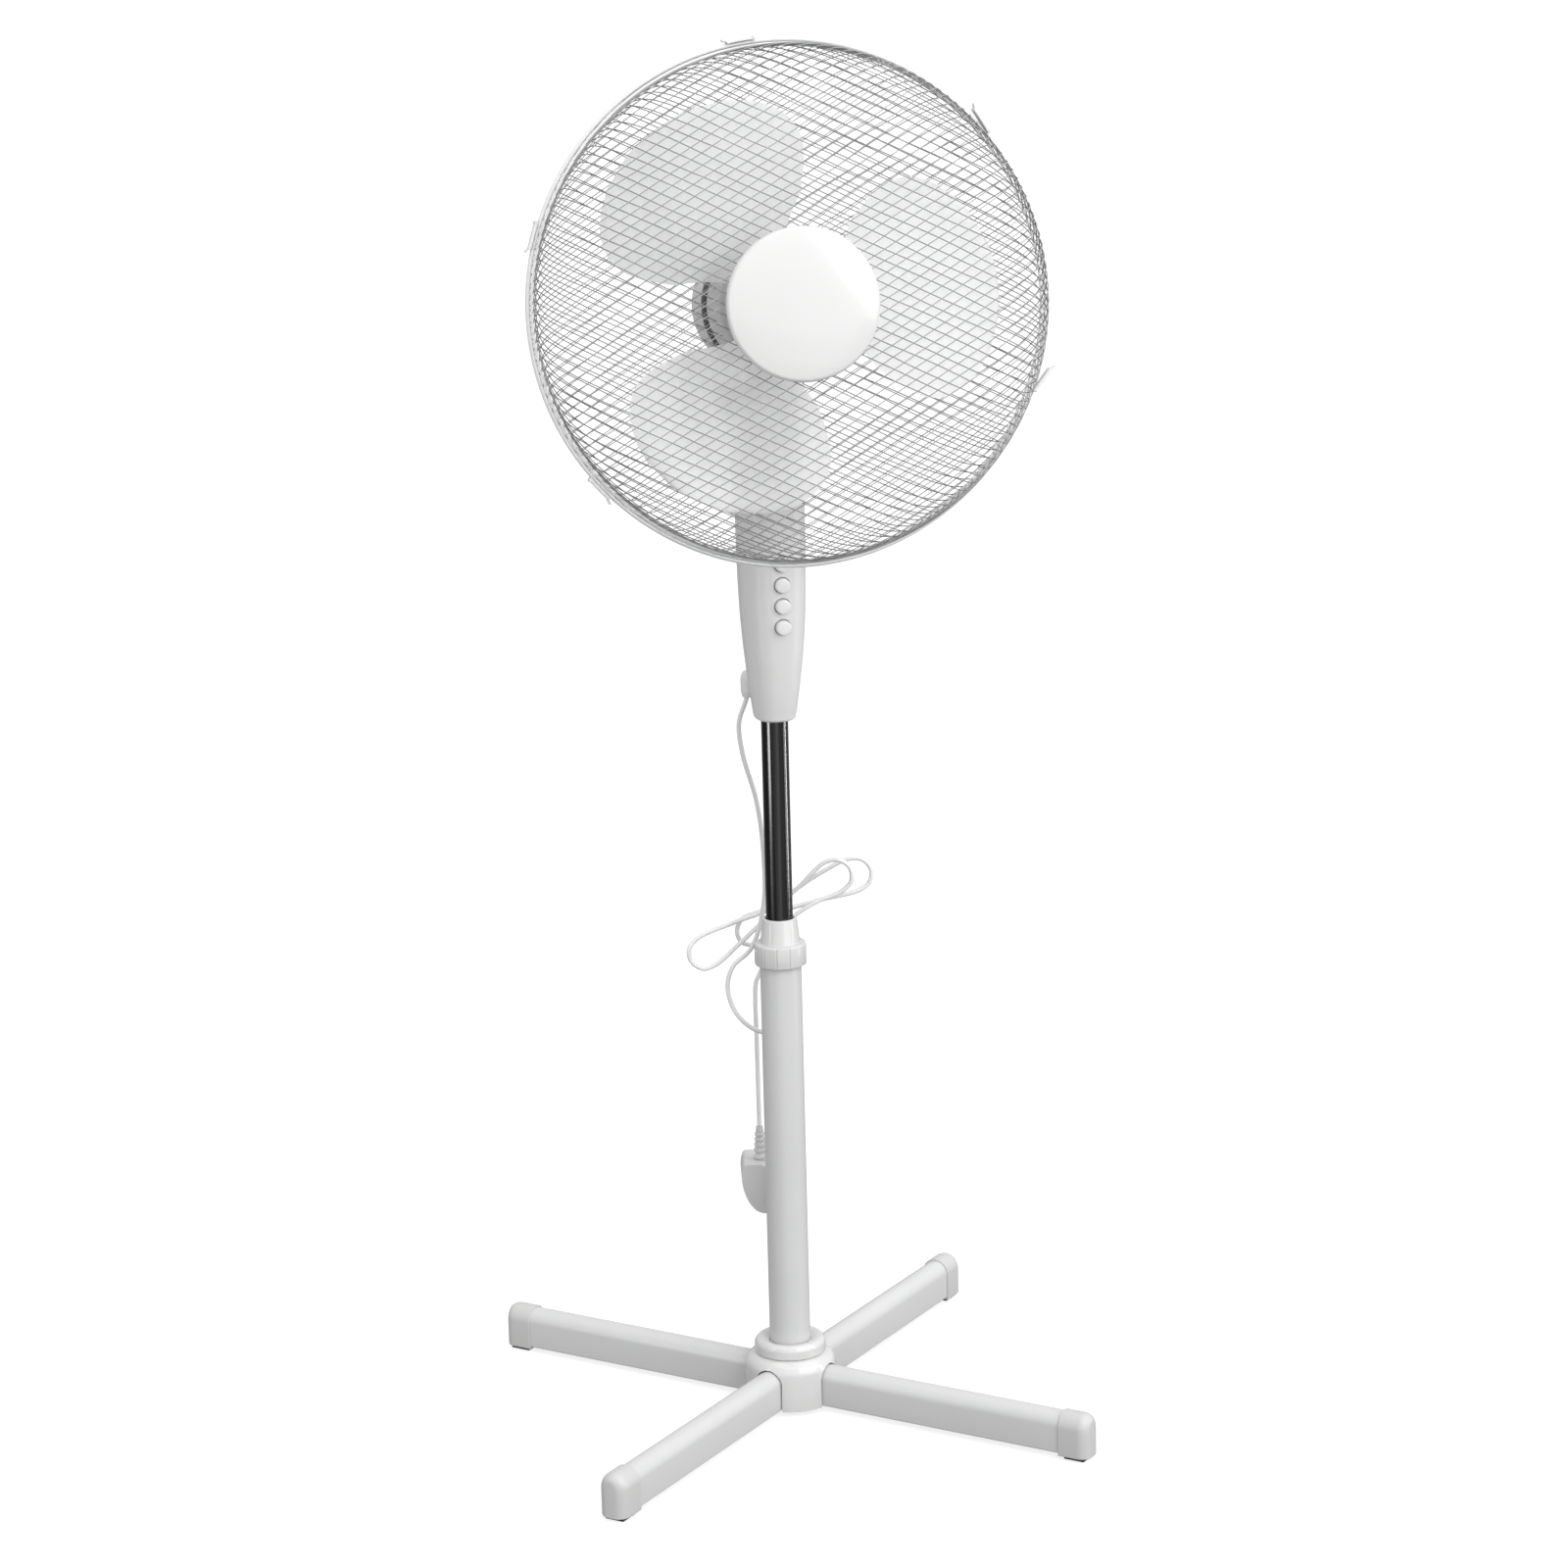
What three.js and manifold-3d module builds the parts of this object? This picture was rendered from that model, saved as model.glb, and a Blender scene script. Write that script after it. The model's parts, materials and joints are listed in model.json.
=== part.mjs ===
// Pedestal fan with a cross base, a telescopic post and a tilting, oscillating head.
// Units are millimetres, +Z is up, and the head faces -Y.
// The origin is on the floor, on the post's axis.
import * as THREE from "three";
import { mergeVertices } from "three/addons/utils/BufferGeometryUtils.js";
import Module from "manifold-3d";

const wasm = await Module();
wasm.setup();

// ---------- Driving dimensions ----------
const DEGREE = Math.PI / 180;
const GAP = 0.3;

const BASE_YAW = 6.5; // the base and column are turned this far from the head's direction
const TILT = 7.3; // the head's nose is raised
const HEAD_TURN = -6.5; // where the oscillation stands, from the column's front

const LEG_WIDTH = 24;
const LEG_HEIGHT = 36;
const LEG_WALL = 1.4;
const LEG_FLOOR = 5;
const LEG_TUBE_END = 300;
const LEG_TIP = 307;
const CAP_START = 279;
const CAP_WALL = 1.7;
const PAD_HEIGHT = 3;

const HUB_RADIUS = 42;
const HUB_WALL = 2;
const HUB_TOP = 50;
const COLLAR_RADIUS = 32.4;
const COLLAR_TOP = 63;

const OUTER_TUBE_RADIUS = 18.5;
const TUBE_WALL = 1.2;
const OUTER_TUBE_BOTTOM = 45;
const OUTER_TUBE_TOP = 426;
const INNER_TUBE_RADIUS = 12;
const INNER_TUBE_BOTTOM = 300;
const INNER_TUBE_TOP = 866;
const NUT_BOTTOM = 416;
const NUT_SHOULDER = 436;
const NUT_TOP = 459;
const NUT_RADIUS = 23.4;
const NUT_FACETS = 12;

const COLUMN_BOTTOM = 641;
const COLUMN_TOP = 898;
const COLUMN_WALL = 2;
const BUTTON_RADIUS = 6.6;
const BUTTON_PITCH = 18.6;
const BUTTON_TOP_Z = 785.7;
const BUTTON_COUNT = 4;
const BUTTON_FACE_Y = -44;
const GLAND_CENTRE = [-17, 26];

const TILT_Z = 925;
const MOTOR_RISE = 80; // the motor's axis above the tilt bolt
const MOTOR_RADIUS = 58;
const CRANK_THROW = 8;
const LINK_PIVOT_Y = 20; // the link's pin on the bracket, behind the oscillation axis
const LINK_ANGLE = -12.6; // points at the crank's pin

const GUARD_RADIUS = 214.6; // centre of the rings' wire
const RING_WIRE = 3.2;
const FRONT_RING = 175; // distances forward of the oscillation axis
const REAR_RING = 168;
const FRONT_DEPTH = 75;
const REAR_DEPTH = 80;
const FRONT_SQUARENESS = 5;
const REAR_SQUARENESS = 2.8;
const CELL_LONG = 106; // one lattice cell here stands for six by six of the real mesh
const CELL_SHORT = 58;
const LATTICE_TURN = 1.5;
const LATTICE_WIRE = 2.2;
const BADGE_RADIUS = 62.5;
const CLIP_ANGLES = [97, 161.4, 220.2, -20, 39.5];
const CLIP_OPENINGS = [0, 0, 0, 20, 10];
const CLIP_LENGTH = 23;

const BLADE_COUNT = 3;
const BLADE_FIRST_ANGLE = 4;
const BLADE_TIP = 178;
const HUB_OF_BLADES = 24;
const BLADE_CENTRE = 152;

const CORD_RADIUS = 2.1;
const CORD_STEPS = 80;
const RELIEF_LENGTH = 31;

// ---------- Materials ----------
function finish(color, roughness, metalness = 0) {
  return new THREE.MeshStandardMaterial({ color, roughness, metalness });
}
const whitePlastic = finish(0xf1f1ef, 0.38);
const whitePaint = finish(0xeeeeec, 0.32);
const frostedPlastic = finish(0xdfe2e3, 0.3);
const blackChrome = finish(0x2a2b2d, 0.16, 1);
const darkRubber = finish(0x2b2b2b, 0.85);
const steel = finish(0xb4b6b8, 0.35, 1);
const darkMetal = finish(0x55585b, 0.45, 0.8);
const blackPlastic = finish(0x1d1d1f, 0.5);
const brass = finish(0xb9974d, 0.3, 1);
const cordPlastic = finish(0xe6e6e4, 0.5);

// ---------- Solids ----------
// A closed geometry as a manifold solid, turned the right way out.
function solid(geometry) {
  const bare = geometry.clone();
  for (const name of Object.keys(bare.attributes)) {
    if (name !== "position") bare.deleteAttribute(name);
  }
  const merged = mergeVertices(bare, 1e-3);
  const index = merged.index.array;
  const at = merged.attributes.position;
  const kept = [];
  let sixVolumes = 0;
  const corner = [new THREE.Vector3(), new THREE.Vector3(), new THREE.Vector3()];
  for (let i = 0; i < index.length; i += 3) {
    const [a, b, c] = [index[i], index[i + 1], index[i + 2]];
    if (a === b || b === c || c === a) continue;
    [a, b, c].forEach((v, k) => corner[k].fromBufferAttribute(at, v));
    sixVolumes += corner[0].dot(corner[1].clone().cross(corner[2]));
    kept.push([a, b, c]);
  }
  const triVerts = Uint32Array.from(
    kept.flatMap(([a, b, c]) => (sixVolumes < 0 ? [a, c, b] : [a, b, c])),
  );
  const vertProperties = Float32Array.from(at.array);
  return new wasm.Manifold(new wasm.Mesh({ numProp: 3, vertProperties, triVerts }));
}

function geometryOf(made) {
  const mesh = made.getMesh();
  const count = mesh.numProp;
  const position = new Float32Array((mesh.vertProperties.length / count) * 3);
  for (let i = 0; i < position.length / 3; i++) {
    for (let k = 0; k < 3; k++) position[3 * i + k] = mesh.vertProperties[i * count + k];
  }
  const geometry = new THREE.BufferGeometry();
  geometry.setAttribute("position", new THREE.BufferAttribute(position, 3));
  geometry.setIndex(new THREE.BufferAttribute(Uint32Array.from(mesh.triVerts), 1));
  geometry.computeVertexNormals();
  return geometry;
}

function join(first, ...rest) {
  return rest.reduce((sum, piece) => sum.add(piece), first);
}

function cut(first, ...rest) {
  return rest.reduce((left, piece) => left.subtract(piece), first);
}

function box(low, high) {
  const size = high.map((v, i) => v - low[i]);
  const geometry = new THREE.BoxGeometry(...size);
  geometry.translate(...low.map((v, i) => v + size[i] / 2));
  return solid(geometry);
}

// A turned solid about Z from [radius, height] points.
function turned(profile, segments = 20) {
  const points = profile.map(([r, z]) => new THREE.Vector2(r, z));
  if (profile[0][0] > 0 || profile.at(-1)[0] > 0) points.push(points[0].clone());
  const geometry = new THREE.LatheGeometry(points, segments);
  geometry.rotateX(Math.PI / 2);
  return solid(geometry);
}

function rod(radius, low, high, segments = 16) {
  return turned([[0, low], [radius, low], [radius, high], [0, high]], segments);
}

function pipe(inner, outer, low, high, segments = 20) {
  return turned([[inner, low], [outer, low], [outer, high], [inner, high]], segments);
}

// Turns a solid built along +Z to run along -Y, the way the head faces.
function facing(made) {
  return made.rotate([90, 0, 0]);
}

function alongX(made) {
  return made.rotate([0, 90, 0]);
}

function extruded(points, low, high, hole) {
  const shape = new THREE.Shape(points.map(([x, y]) => new THREE.Vector2(x, y)));
  if (hole) shape.holes.push(new THREE.Path(hole.map(([x, y]) => new THREE.Vector2(x, y))));
  const geometry = new THREE.ExtrudeGeometry(shape, {
    depth: high - low,
    bevelEnabled: false,
  });
  geometry.translate(0, 0, low);
  return solid(geometry);
}

// Skins a stack of rings of equal point count and closes both ends.
function lofted(rings) {
  const count = rings[0].length;
  const vertices = rings.flat();
  const faces = [];
  for (let k = 0; k + 1 < rings.length; k++) {
    for (let i = 0; i < count; i++) {
      const [a, b] = [k * count + i, k * count + ((i + 1) % count)];
      faces.push([a, b, b + count], [a, b + count, a + count]);
    }
  }
  for (let i = 1; i + 1 < count; i++) {
    const last = (rings.length - 1) * count;
    faces.push([0, i + 1, i], [last, last + i, last + i + 1]);
  }
  const geometry = new THREE.BufferGeometry();
  geometry.setAttribute("position", new THREE.Float32BufferAttribute(vertices.flat(), 3));
  geometry.setIndex(faces.flat());
  return solid(geometry);
}

function polar(radius, degrees) {
  return [radius * Math.cos(degrees * DEGREE), radius * Math.sin(degrees * DEGREE)];
}

// ---------- Assembly ----------
const fan = new THREE.Group();
const stand = new THREE.Group(); // base and column share this turned frame
stand.rotation.z = BASE_YAW * DEGREE;
const tilting = new THREE.Group(); // origin on the tilt bolt
tilting.position.z = TILT_Z;
tilting.rotation.x = -TILT * DEGREE;
const head = new THREE.Group(); // origin where the oscillation axis meets the tilt bolt
head.rotation.z = HEAD_TURN * DEGREE;
fan.add(stand);
stand.add(tilting);
tilting.add(head);

function place(parent, name, made, material) {
  const mesh = new THREE.Mesh(geometryOf(made), material);
  mesh.name = name;
  parent.add(mesh);
  return mesh;
}

// ---------- Cross base ----------
// The arched outline of a leg, grown by an offset.
function legOutline(offset = 0) {
  const half = LEG_WIDTH / 2 + offset;
  const spring = LEG_FLOOR + LEG_HEIGHT - LEG_WIDTH / 2;
  const points = [[-half, LEG_FLOOR - offset], [half, LEG_FLOOR - offset]];
  for (let angle = 0; angle <= 180; angle += 30) {
    const [x, y] = polar(half, angle);
    points.push([x, spring + y]);
  }
  return points;
}

// A leg-shaped bar from low to high along +X.
function legBar(offset, low, high, hollow = false) {
  const bar = extruded(
    legOutline(offset),
    low,
    high,
    hollow ? legOutline(-LEG_WALL) : undefined,
  );
  return bar.rotate([90, 0, 90]);
}

function buildLegs() {
  const halfLap = LEG_FLOOR + LEG_HEIGHT / 2;
  const notch = LEG_WIDTH / 2 + GAP;
  const boltHole = rod(4.4, -10, 60);
  const tube = legBar(0, -LEG_TUBE_END, LEG_TUBE_END, true);
  const upperNotch = box([-notch, -30, halfLap], [notch, 30, 60]);
  const lowerNotch = box([-notch, -30, -10], [notch, 30, halfLap + GAP]);
  const lower = place(stand, "cross_leg_lower", cut(tube, upperNotch, boltHole), whitePaint);
  const upper = place(stand, "cross_leg_upper", cut(tube, lowerNotch, boltHole), whitePaint);
  lower.rotation.z = -45 * DEGREE;
  upper.rotation.z = 45 * DEGREE;
}

function capRound() {
  const half = LEG_WIDTH / 2 + CAP_WALL;
  const corner = 9;
  const plan = [[CAP_START, -half]];
  for (let angle = -90; angle <= 0; angle += 30) {
    const [x, y] = polar(corner, angle);
    plan.push([LEG_TIP - corner + x, -half + corner + y]);
  }
  for (let angle = 0; angle <= 90; angle += 30) {
    const [x, y] = polar(corner, angle);
    plan.push([LEG_TIP - corner + x, half - corner + y]);
  }
  plan.push([CAP_START, half]);
  return extruded(plan, -5, 60);
}

function buildFeet() {
  const cavity = legBar(GAP, CAP_START - 1, LEG_TUBE_END + GAP);
  const shell = legBar(CAP_WALL, CAP_START, LEG_TIP).intersect(capRound());
  const cap = cut(shell, cavity);
  const pad = join(
    box([CAP_START + 4, -9, 0], [LEG_TIP - 5, 9, PAD_HEIGHT]),
    box([CAP_START + 8, -6, 0], [LEG_TIP - 9, 6, PAD_HEIGHT]),
  );
  for (let i = 0; i < 4; i++) {
    const turn = (-45 + 90 * i) * DEGREE;
    place(stand, `foot_cap_${i + 1}`, cap, whitePlastic).rotation.z = turn;
    place(stand, `foot_pad_${i + 1}`, pad, darkRubber).rotation.z = turn;
  }
}

function buildHub() {
  const outside = [
    [0, LEG_FLOOR - 1],
    [HUB_RADIUS, LEG_FLOOR - 1],
    [HUB_RADIUS - 0.6, 38],
    [HUB_RADIUS - 2.5, 44],
    [HUB_RADIUS - 6.5, 48.4],
    [COLLAR_RADIUS - 1, HUB_TOP],
    [0, HUB_TOP],
  ];
  const inside = [
    [0, LEG_FLOOR - 3],
    [HUB_RADIUS - HUB_WALL, LEG_FLOOR - 3],
    [HUB_RADIUS - HUB_WALL - 0.6, 38],
    [HUB_RADIUS - 5, 43.2],
    [HUB_RADIUS - 8, 46.6],
    [0, HUB_TOP - HUB_WALL],
  ];
  const legs = legBar(0.7, -80, 80);
  const hub = cut(
    turned(outside, 28),
    turned(inside, 28),
    rod(OUTER_TUBE_RADIUS + GAP, 20, 80, 24),
    legs.rotate([0, 0, 45]),
    legs.rotate([0, 0, -45]),
    box([-60, -60, -20], [60, 60, LEG_FLOOR - 0.5]),
  );
  place(stand, "base_hub", hub, whitePlastic);
  const bore = OUTER_TUBE_RADIUS + GAP;
  const collar = turned(
    [
      [bore, HUB_TOP + GAP],
      [COLLAR_RADIUS, HUB_TOP + GAP],
      [COLLAR_RADIUS, 58],
      [COLLAR_RADIUS - 1.6, 61.2],
      [COLLAR_RADIUS - 5, COLLAR_TOP],
      [bore, COLLAR_TOP + 0.8],
    ],
    24,
  );
  place(stand, "hub_collar", collar, whitePlastic);
  const stub = OUTER_TUBE_RADIUS - TUBE_WALL - GAP;
  const flange = turned([
    [0, 41.6],
    [30, 41.6],
    [30, 44.4],
    [stub, 44.4],
    [stub, 92],
    [0, 92],
  ]);
  place(stand, "tube_flange", cut(flange, rod(4.4, 30, 70)), steel);
  const bolt = turned([[0, 1], [8.5, 1], [8.5, 4.4], [4, 4.4], [4, 68], [0, 68]], 18);
  place(stand, "base_bolt", bolt, steel);
}

// ---------- Telescopic post ----------
function buildPost() {
  const bore = OUTER_TUBE_RADIUS - TUBE_WALL;
  const outer = pipe(bore, OUTER_TUBE_RADIUS, OUTER_TUBE_BOTTOM, OUTER_TUBE_TOP);
  place(stand, "outer_tube", outer, whitePaint);
  const slip = INNER_TUBE_RADIUS + GAP;
  const bush = turned([
    [slip, 395],
    [bore - GAP, 395],
    [bore - GAP, OUTER_TUBE_TOP + GAP],
    [OUTER_TUBE_RADIUS, OUTER_TUBE_TOP + GAP],
    [OUTER_TUBE_RADIUS, 429],
    [slip, 429],
  ]);
  place(stand, "tube_bush", bush, blackPlastic);
  const collet = turned([
    [slip, 429 + GAP],
    [16.2, 429 + GAP],
    [15.4, 441],
    [13.6, 454],
    [slip, 454],
  ]);
  const slit = box([-0.8, 0, 400], [0.8, 30, 470]);
  place(stand, "clamp_collet", cut(collet, slit), blackPlastic);
  buildLockNut();
  const inner = pipe(INNER_TUBE_RADIUS - 1, INNER_TUBE_RADIUS, INNER_TUBE_BOTTOM, INNER_TUBE_TOP);
  place(stand, "inner_tube", inner, blackChrome);
  const guide = turned([
    [0, INNER_TUBE_BOTTOM - 6],
    [bore - GAP, INNER_TUBE_BOTTOM - 6],
    [bore - GAP, INNER_TUBE_BOTTOM - GAP],
    [INNER_TUBE_RADIUS - 1.3, INNER_TUBE_BOTTOM - GAP],
    [INNER_TUBE_RADIUS - 1.3, INNER_TUBE_BOTTOM + 14],
    [0, INNER_TUBE_BOTTOM + 14],
  ]);
  place(stand, "slide_plug", guide, blackPlastic);
}

function buildLockNut() {
  const outline = [];
  const hole = [];
  for (let i = 0; i < NUT_FACETS; i++) {
    const start = (360 / NUT_FACETS) * i;
    outline.push(polar(NUT_RADIUS - 1, start), polar(NUT_RADIUS, start + 3.5));
    outline.push(polar(NUT_RADIUS, start + 26.5));
  }
  for (let i = 0; i < 24; i++) hole.push(polar(19.3, (360 / 24) * i));
  const grip = extruded(outline, NUT_BOTTOM, NUT_SHOULDER, hole);
  const cone = turned([
    [19.3, 425],
    [22, 425],
    [22, NUT_SHOULDER],
    [17.7, NUT_SHOULDER + 1.2],
    [15.3, NUT_TOP],
    [12.6, NUT_TOP],
    [12.6, NUT_TOP - 3],
    [14, NUT_TOP - 4],
    [16, 441],
    [16.8, 430],
    [19.3, 429.6],
  ]);
  place(stand, "height_lock_nut", join(grip, cone), whitePlastic);
}

// ---------- Control column ----------
// Height, half width, depth in front of and behind the post's axis.
const COLUMN_SECTIONS = [
  [641, 16.6, 19.5, 17],
  [645, 18.2, 22, 18.6],
  [658, 19.8, 26, 20.5],
  [699, 24.4, 34.5, 26],
  [739, 27.2, 38.6, 30.5],
  [780, 28.4, 39.5, 32.5],
  [840, 28.6, 38.5, 32.5],
  [880, 27.6, 35, 31],
  [898, 25.6, 31.5, 28.5],
];

function columnRing([z, half, front, back], inset) {
  const points = [];
  const sides = 20;
  const squareness = 2.6;
  for (let i = 0; i < sides; i++) {
    const [c, s] = polar(1, (360 / sides) * (i + 0.5));
    const x = Math.sign(c) * Math.abs(c) ** (2 / squareness);
    const y = Math.sign(s) * Math.abs(s) ** (2 / squareness);
    const depth = y < 0 ? front : back;
    points.push([(half - inset) * x, (depth - inset) * y, z]);
  }
  return points;
}

function columnBody(inset, low, high) {
  const rings = COLUMN_SECTIONS.map((section) => {
    const z = Math.min(high, Math.max(low, section[0]));
    return columnRing([z, ...section.slice(1)], inset);
  });
  return lofted(rings);
}

function buttonHeight(i) {
  return BUTTON_TOP_Z - BUTTON_PITCH * i;
}

function buildColumn() {
  const body = columnBody(0, COLUMN_BOTTOM, COLUMN_TOP);
  const room = columnBody(COLUMN_WALL, COLUMN_BOTTOM + COLUMN_WALL, COLUMN_TOP - COLUMN_WALL);
  const shell = cut(
    body,
    room,
    rod(INNER_TUBE_RADIUS + GAP, 600, 700),
    rod(17.5, 880, 920),
  );
  const far = 80;
  const frontHalf = box([-far, -far, 600], [far, -GAP / 2, 950]);
  const rearHalf = box([-far, GAP / 2, 600], [far, far, 950]);
  const buttonHoles = [];
  for (let i = 0; i < BUTTON_COUNT; i++) {
    const hole = facing(rod(BUTTON_RADIUS + GAP, 25, 60, 16));
    buttonHoles.push(hole.translate([0, 0, buttonHeight(i)]));
  }
  const front = cut(shell.intersect(frontHalf), ...buttonHoles);
  place(stand, "control_housing_front", front, whitePlastic);
  const [gx, gy] = GLAND_CENTRE;
  const cordWay = rod(3.6, 650, 676, 16).translate([gx, gy, 0]);
  const screwHole = rod(2.3, -40, 0, 12).rotate([90, 0, 0]).translate([0, 0, 720]);
  place(stand, "control_housing_rear", cut(shell.intersect(rearHalf), screwHole), whitePlastic);
  const screw = turned([[0, 30.6], [4, 30.6], [4, 28.6], [2, 28.6], [2, 16], [0, 16]], 12);
  place(stand, "housing_screw", screw.rotate([-90, 0, 0]).translate([0, 0, 720]), steel);
  const gland = turned([[0, 656], [5, 656], [6.2, 661], [6.4, 674], [4.5, 679], [0, 680.5]], 16);
  const glandOutside = cut(
    gland.translate([gx, gy, 0]),
    columnBody(-GAP, COLUMN_BOTTOM - 5, COLUMN_TOP),
    cordWay,
  );
  place(stand, "cord_gland", glandOutside, whitePlastic);
  place(stand, "switch_block", box([-11, -28.4, 720], [11, -13.5, 797]), blackPlastic);
}

function buildButtons() {
  for (let i = 0; i < BUTTON_COUNT; i++) {
    const face = -BUTTON_FACE_Y;
    const cap = turned(
      [
        [0, 32.3],
        [BUTTON_RADIUS + 1.2, 32.3],
        [BUTTON_RADIUS + 1.2, 33.2],
        [BUTTON_RADIUS, 33.2],
        [BUTTON_RADIUS, face - 1],
        [BUTTON_RADIUS - 1.2, face],
        [0, face],
      ],
      16,
    );
    const button = facing(cap).translate([0, 0, buttonHeight(i)]);
    place(stand, `speed_button_${i}`, button, whitePlastic);
  }
}

// ---------- Neck and tilt joint ----------
function buildNeck() {
  const ear = (side) => {
    const low = side < 0 ? -21 : 14;
    const disc = alongX(rod(15, low, low + 7, 20)).translate([0, 0, TILT_Z]);
    return join(disc, box([low, -15, 899], [low + 7, 15, TILT_Z]));
  };
  const socket = join(rod(17, 838, 900), box([-21, -15, 899], [21, 15, 905]));
  const yoke = cut(
    join(socket, ear(-1), ear(1)),
    rod(INNER_TUBE_RADIUS + GAP, 800, INNER_TUBE_TOP + 1),
    alongX(rod(4.4, -40, 40, 16)).translate([0, 0, TILT_Z]),
  );
  place(stand, "neck_yoke", yoke, whitePlastic);
  const bolt = turned([[0, -37], [4, -37], [4, 21.4], [8, 21.4], [8, 26], [0, 26]], 16);
  place(stand, "tilt_bolt", alongX(bolt).translate([0, 0, TILT_Z]), steel);
  const lobes = [];
  for (let angle = 0; angle < 360; angle += 15) {
    lobes.push(polar(14.5 + 1.5 * Math.cos(6 * angle * DEGREE), angle));
  }
  const knob = join(extruded(lobes, -40, -28), rod(9, -29, -21.4, 18));
  const knobWithHole = cut(knob, rod(4.3, -37.4, -10, 16));
  place(stand, "tilt_knob", alongX(knobWithHole).translate([0, 0, TILT_Z]), whitePlastic);
}

function buildTiltBracket() {
  const knuckle = alongX(rod(13, -13.5, 13.5, 20));
  const neck = box([-11, -11, 0], [11, 11, 32]);
  const table = rod(26, 29, 33.4, 28);
  const linkPin = rod(2.4, 33, 37.4, 12).translate([0, LINK_PIVOT_Y, 0]);
  const bracket = cut(
    join(knuckle, neck, table, linkPin),
    alongX(rod(4.4, -20, 20, 16)),
    rod(6.4, 13.6, 60, 20),
  );
  place(tilting, "tilt_bracket", bracket, whitePlastic);
}

// ---------- Motor, gearbox and covers ----------
function onMotorAxis(made) {
  return facing(made).translate([0, 0, MOTOR_RISE]);
}

function buildMotor() {
  const crankY = 33;
  const spindle = rod(6, 17.5, 42, 20);
  const caseBox = box([-21, -14, 41], [21, 46, 98]);
  const shaftWay = onMotorAxis(rod(4.4, -60, 60, 16));
  const gearbox = cut(
    join(caseBox, spindle),
    shaftWay,
    rod(3.3, 30, 55, 12).translate([0, crankY, 0]),
    rod(3.3, 86, 120, 12).translate([0, 30, 0]),
  );
  place(head, "gearbox_case", gearbox, darkMetal);
  const crankPin = rod(2, 37.2, 39, 10).translate([0, CRANK_THROW, 0]);
  const crank = join(rod(12, 38.2, 40.4), rod(3, 39, 54, 12), crankPin);
  place(head, "crank_disc", crank.translate([0, crankY, 0]), brass);
  const stator = pipe(27.6, 48, 28, 72);
  place(head, "motor_stator", onMotorAxis(stator), darkMetal);
  const rotor = turned([
    [0, -12],
    [4, -12],
    [4, 30],
    [27, 30],
    [27, 70],
    [4, 70],
    [4, 184],
    [0, 184],
  ]);
  place(head, "rotor_shaft", onMotorAxis(rotor), steel);
  const frontCover = turned([
    [4.4, 81],
    [39, 81],
    [50.5, 76.4],
    [MOTOR_RADIUS - 3, 65],
    [MOTOR_RADIUS - 3, 44.3],
    [MOTOR_RADIUS - 1, 44.3],
    [MOTOR_RADIUS - 1, 66],
    [52, 78],
    [40, 83],
    [20, 83],
    [20, 100],
    [16, 100],
    [16, 86],
    [4.4, 86],
  ]);
  place(head, "motor_front_cover", onMotorAxis(frontCover), whitePlastic);
  const rearOutside = turned([
    [0, -86],
    [18, -85],
    [34, -79],
    [47, -66],
    [54.5, -46],
    [MOTOR_RADIUS, -20],
    [MOTOR_RADIUS, 44],
    [0, 44],
  ]);
  const rearInside = turned([
    [0, -84],
    [17.5, -83],
    [33, -77.2],
    [45.4, -64.8],
    [52.6, -45.4],
    [MOTOR_RADIUS - 2, -19.6],
    [MOTOR_RADIUS - 2, 60],
    [0, 60],
  ]);
  const rear = cut(
    onMotorAxis(rearOutside),
    onMotorAxis(rearInside),
    box([-29, -29, 0], [29, 52, 50]),
    rod(3.8, 100, 160, 14).translate([0, 30, 0]),
  );
  place(head, "motor_rear_cover", rear, whitePlastic);
  const knob = turned([
    [0, 90],
    [3, 90],
    [3, 139],
    [8, 139],
    [8.6, 152],
    [6.5, 155],
    [0, 155.6],
  ], 18);
  place(head, "oscillation_knob", knob.translate([0, 30, 0]), whitePlastic);
  const link = box([-4, -4, 34.2], [4, 25, 36.4]);
  const linkWithHole = cut(link, rod(2.7, 30, 40, 12));
  const placed = place(tilting, "oscillation_link", linkWithHole, steel);
  placed.position.y = LINK_PIVOT_Y;
  placed.rotation.z = LINK_ANGLE * DEGREE;
}

// ---------- Guards ----------
// A pan-shaped dome: distance round its surface from the centre gives radius and depth.
function domeMap(depth, squareness) {
  const steps = 400;
  const table = [[0, 0, depth]];
  let arc = 0;
  let last = [0, depth];
  for (let i = 1; i <= steps; i++) {
    const angle = (Math.PI / 2) * (i / steps);
    const radius = GUARD_RADIUS * Math.sin(angle) ** (2 / squareness);
    const height = depth * Math.cos(angle) ** (2 / squareness);
    arc += Math.hypot(radius - last[0], height - last[1]);
    table.push([arc, radius, height]);
    last = [radius, height];
  }
  return { edge: arc, table };
}

function domePoint(dome, x, y, lift) {
  const arc = Math.hypot(x, y);
  const { table } = dome;
  let k = table.findIndex((row) => row[0] >= arc);
  if (k < 0) k = table.length - 1;
  k = Math.max(1, k);
  const [low, high] = [table[k - 1], table[k]];
  const share = Math.min(1, (arc - low[0]) / (high[0] - low[0]));
  const radius = low[1] + share * (high[1] - low[1]);
  const height = low[2] + share * (high[2] - low[2]);
  const run = Math.hypot(high[1] - low[1], high[2] - low[2]);
  const outward = -(high[2] - low[2]) / run;
  const forward = (high[1] - low[1]) / run;
  const [ux, uy] = arc > 1e-9 ? [x / arc, y / arc] : [0, 0];
  const r = radius + lift * outward;
  return [ux * r, uy * r, height + lift * forward];
}

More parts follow.
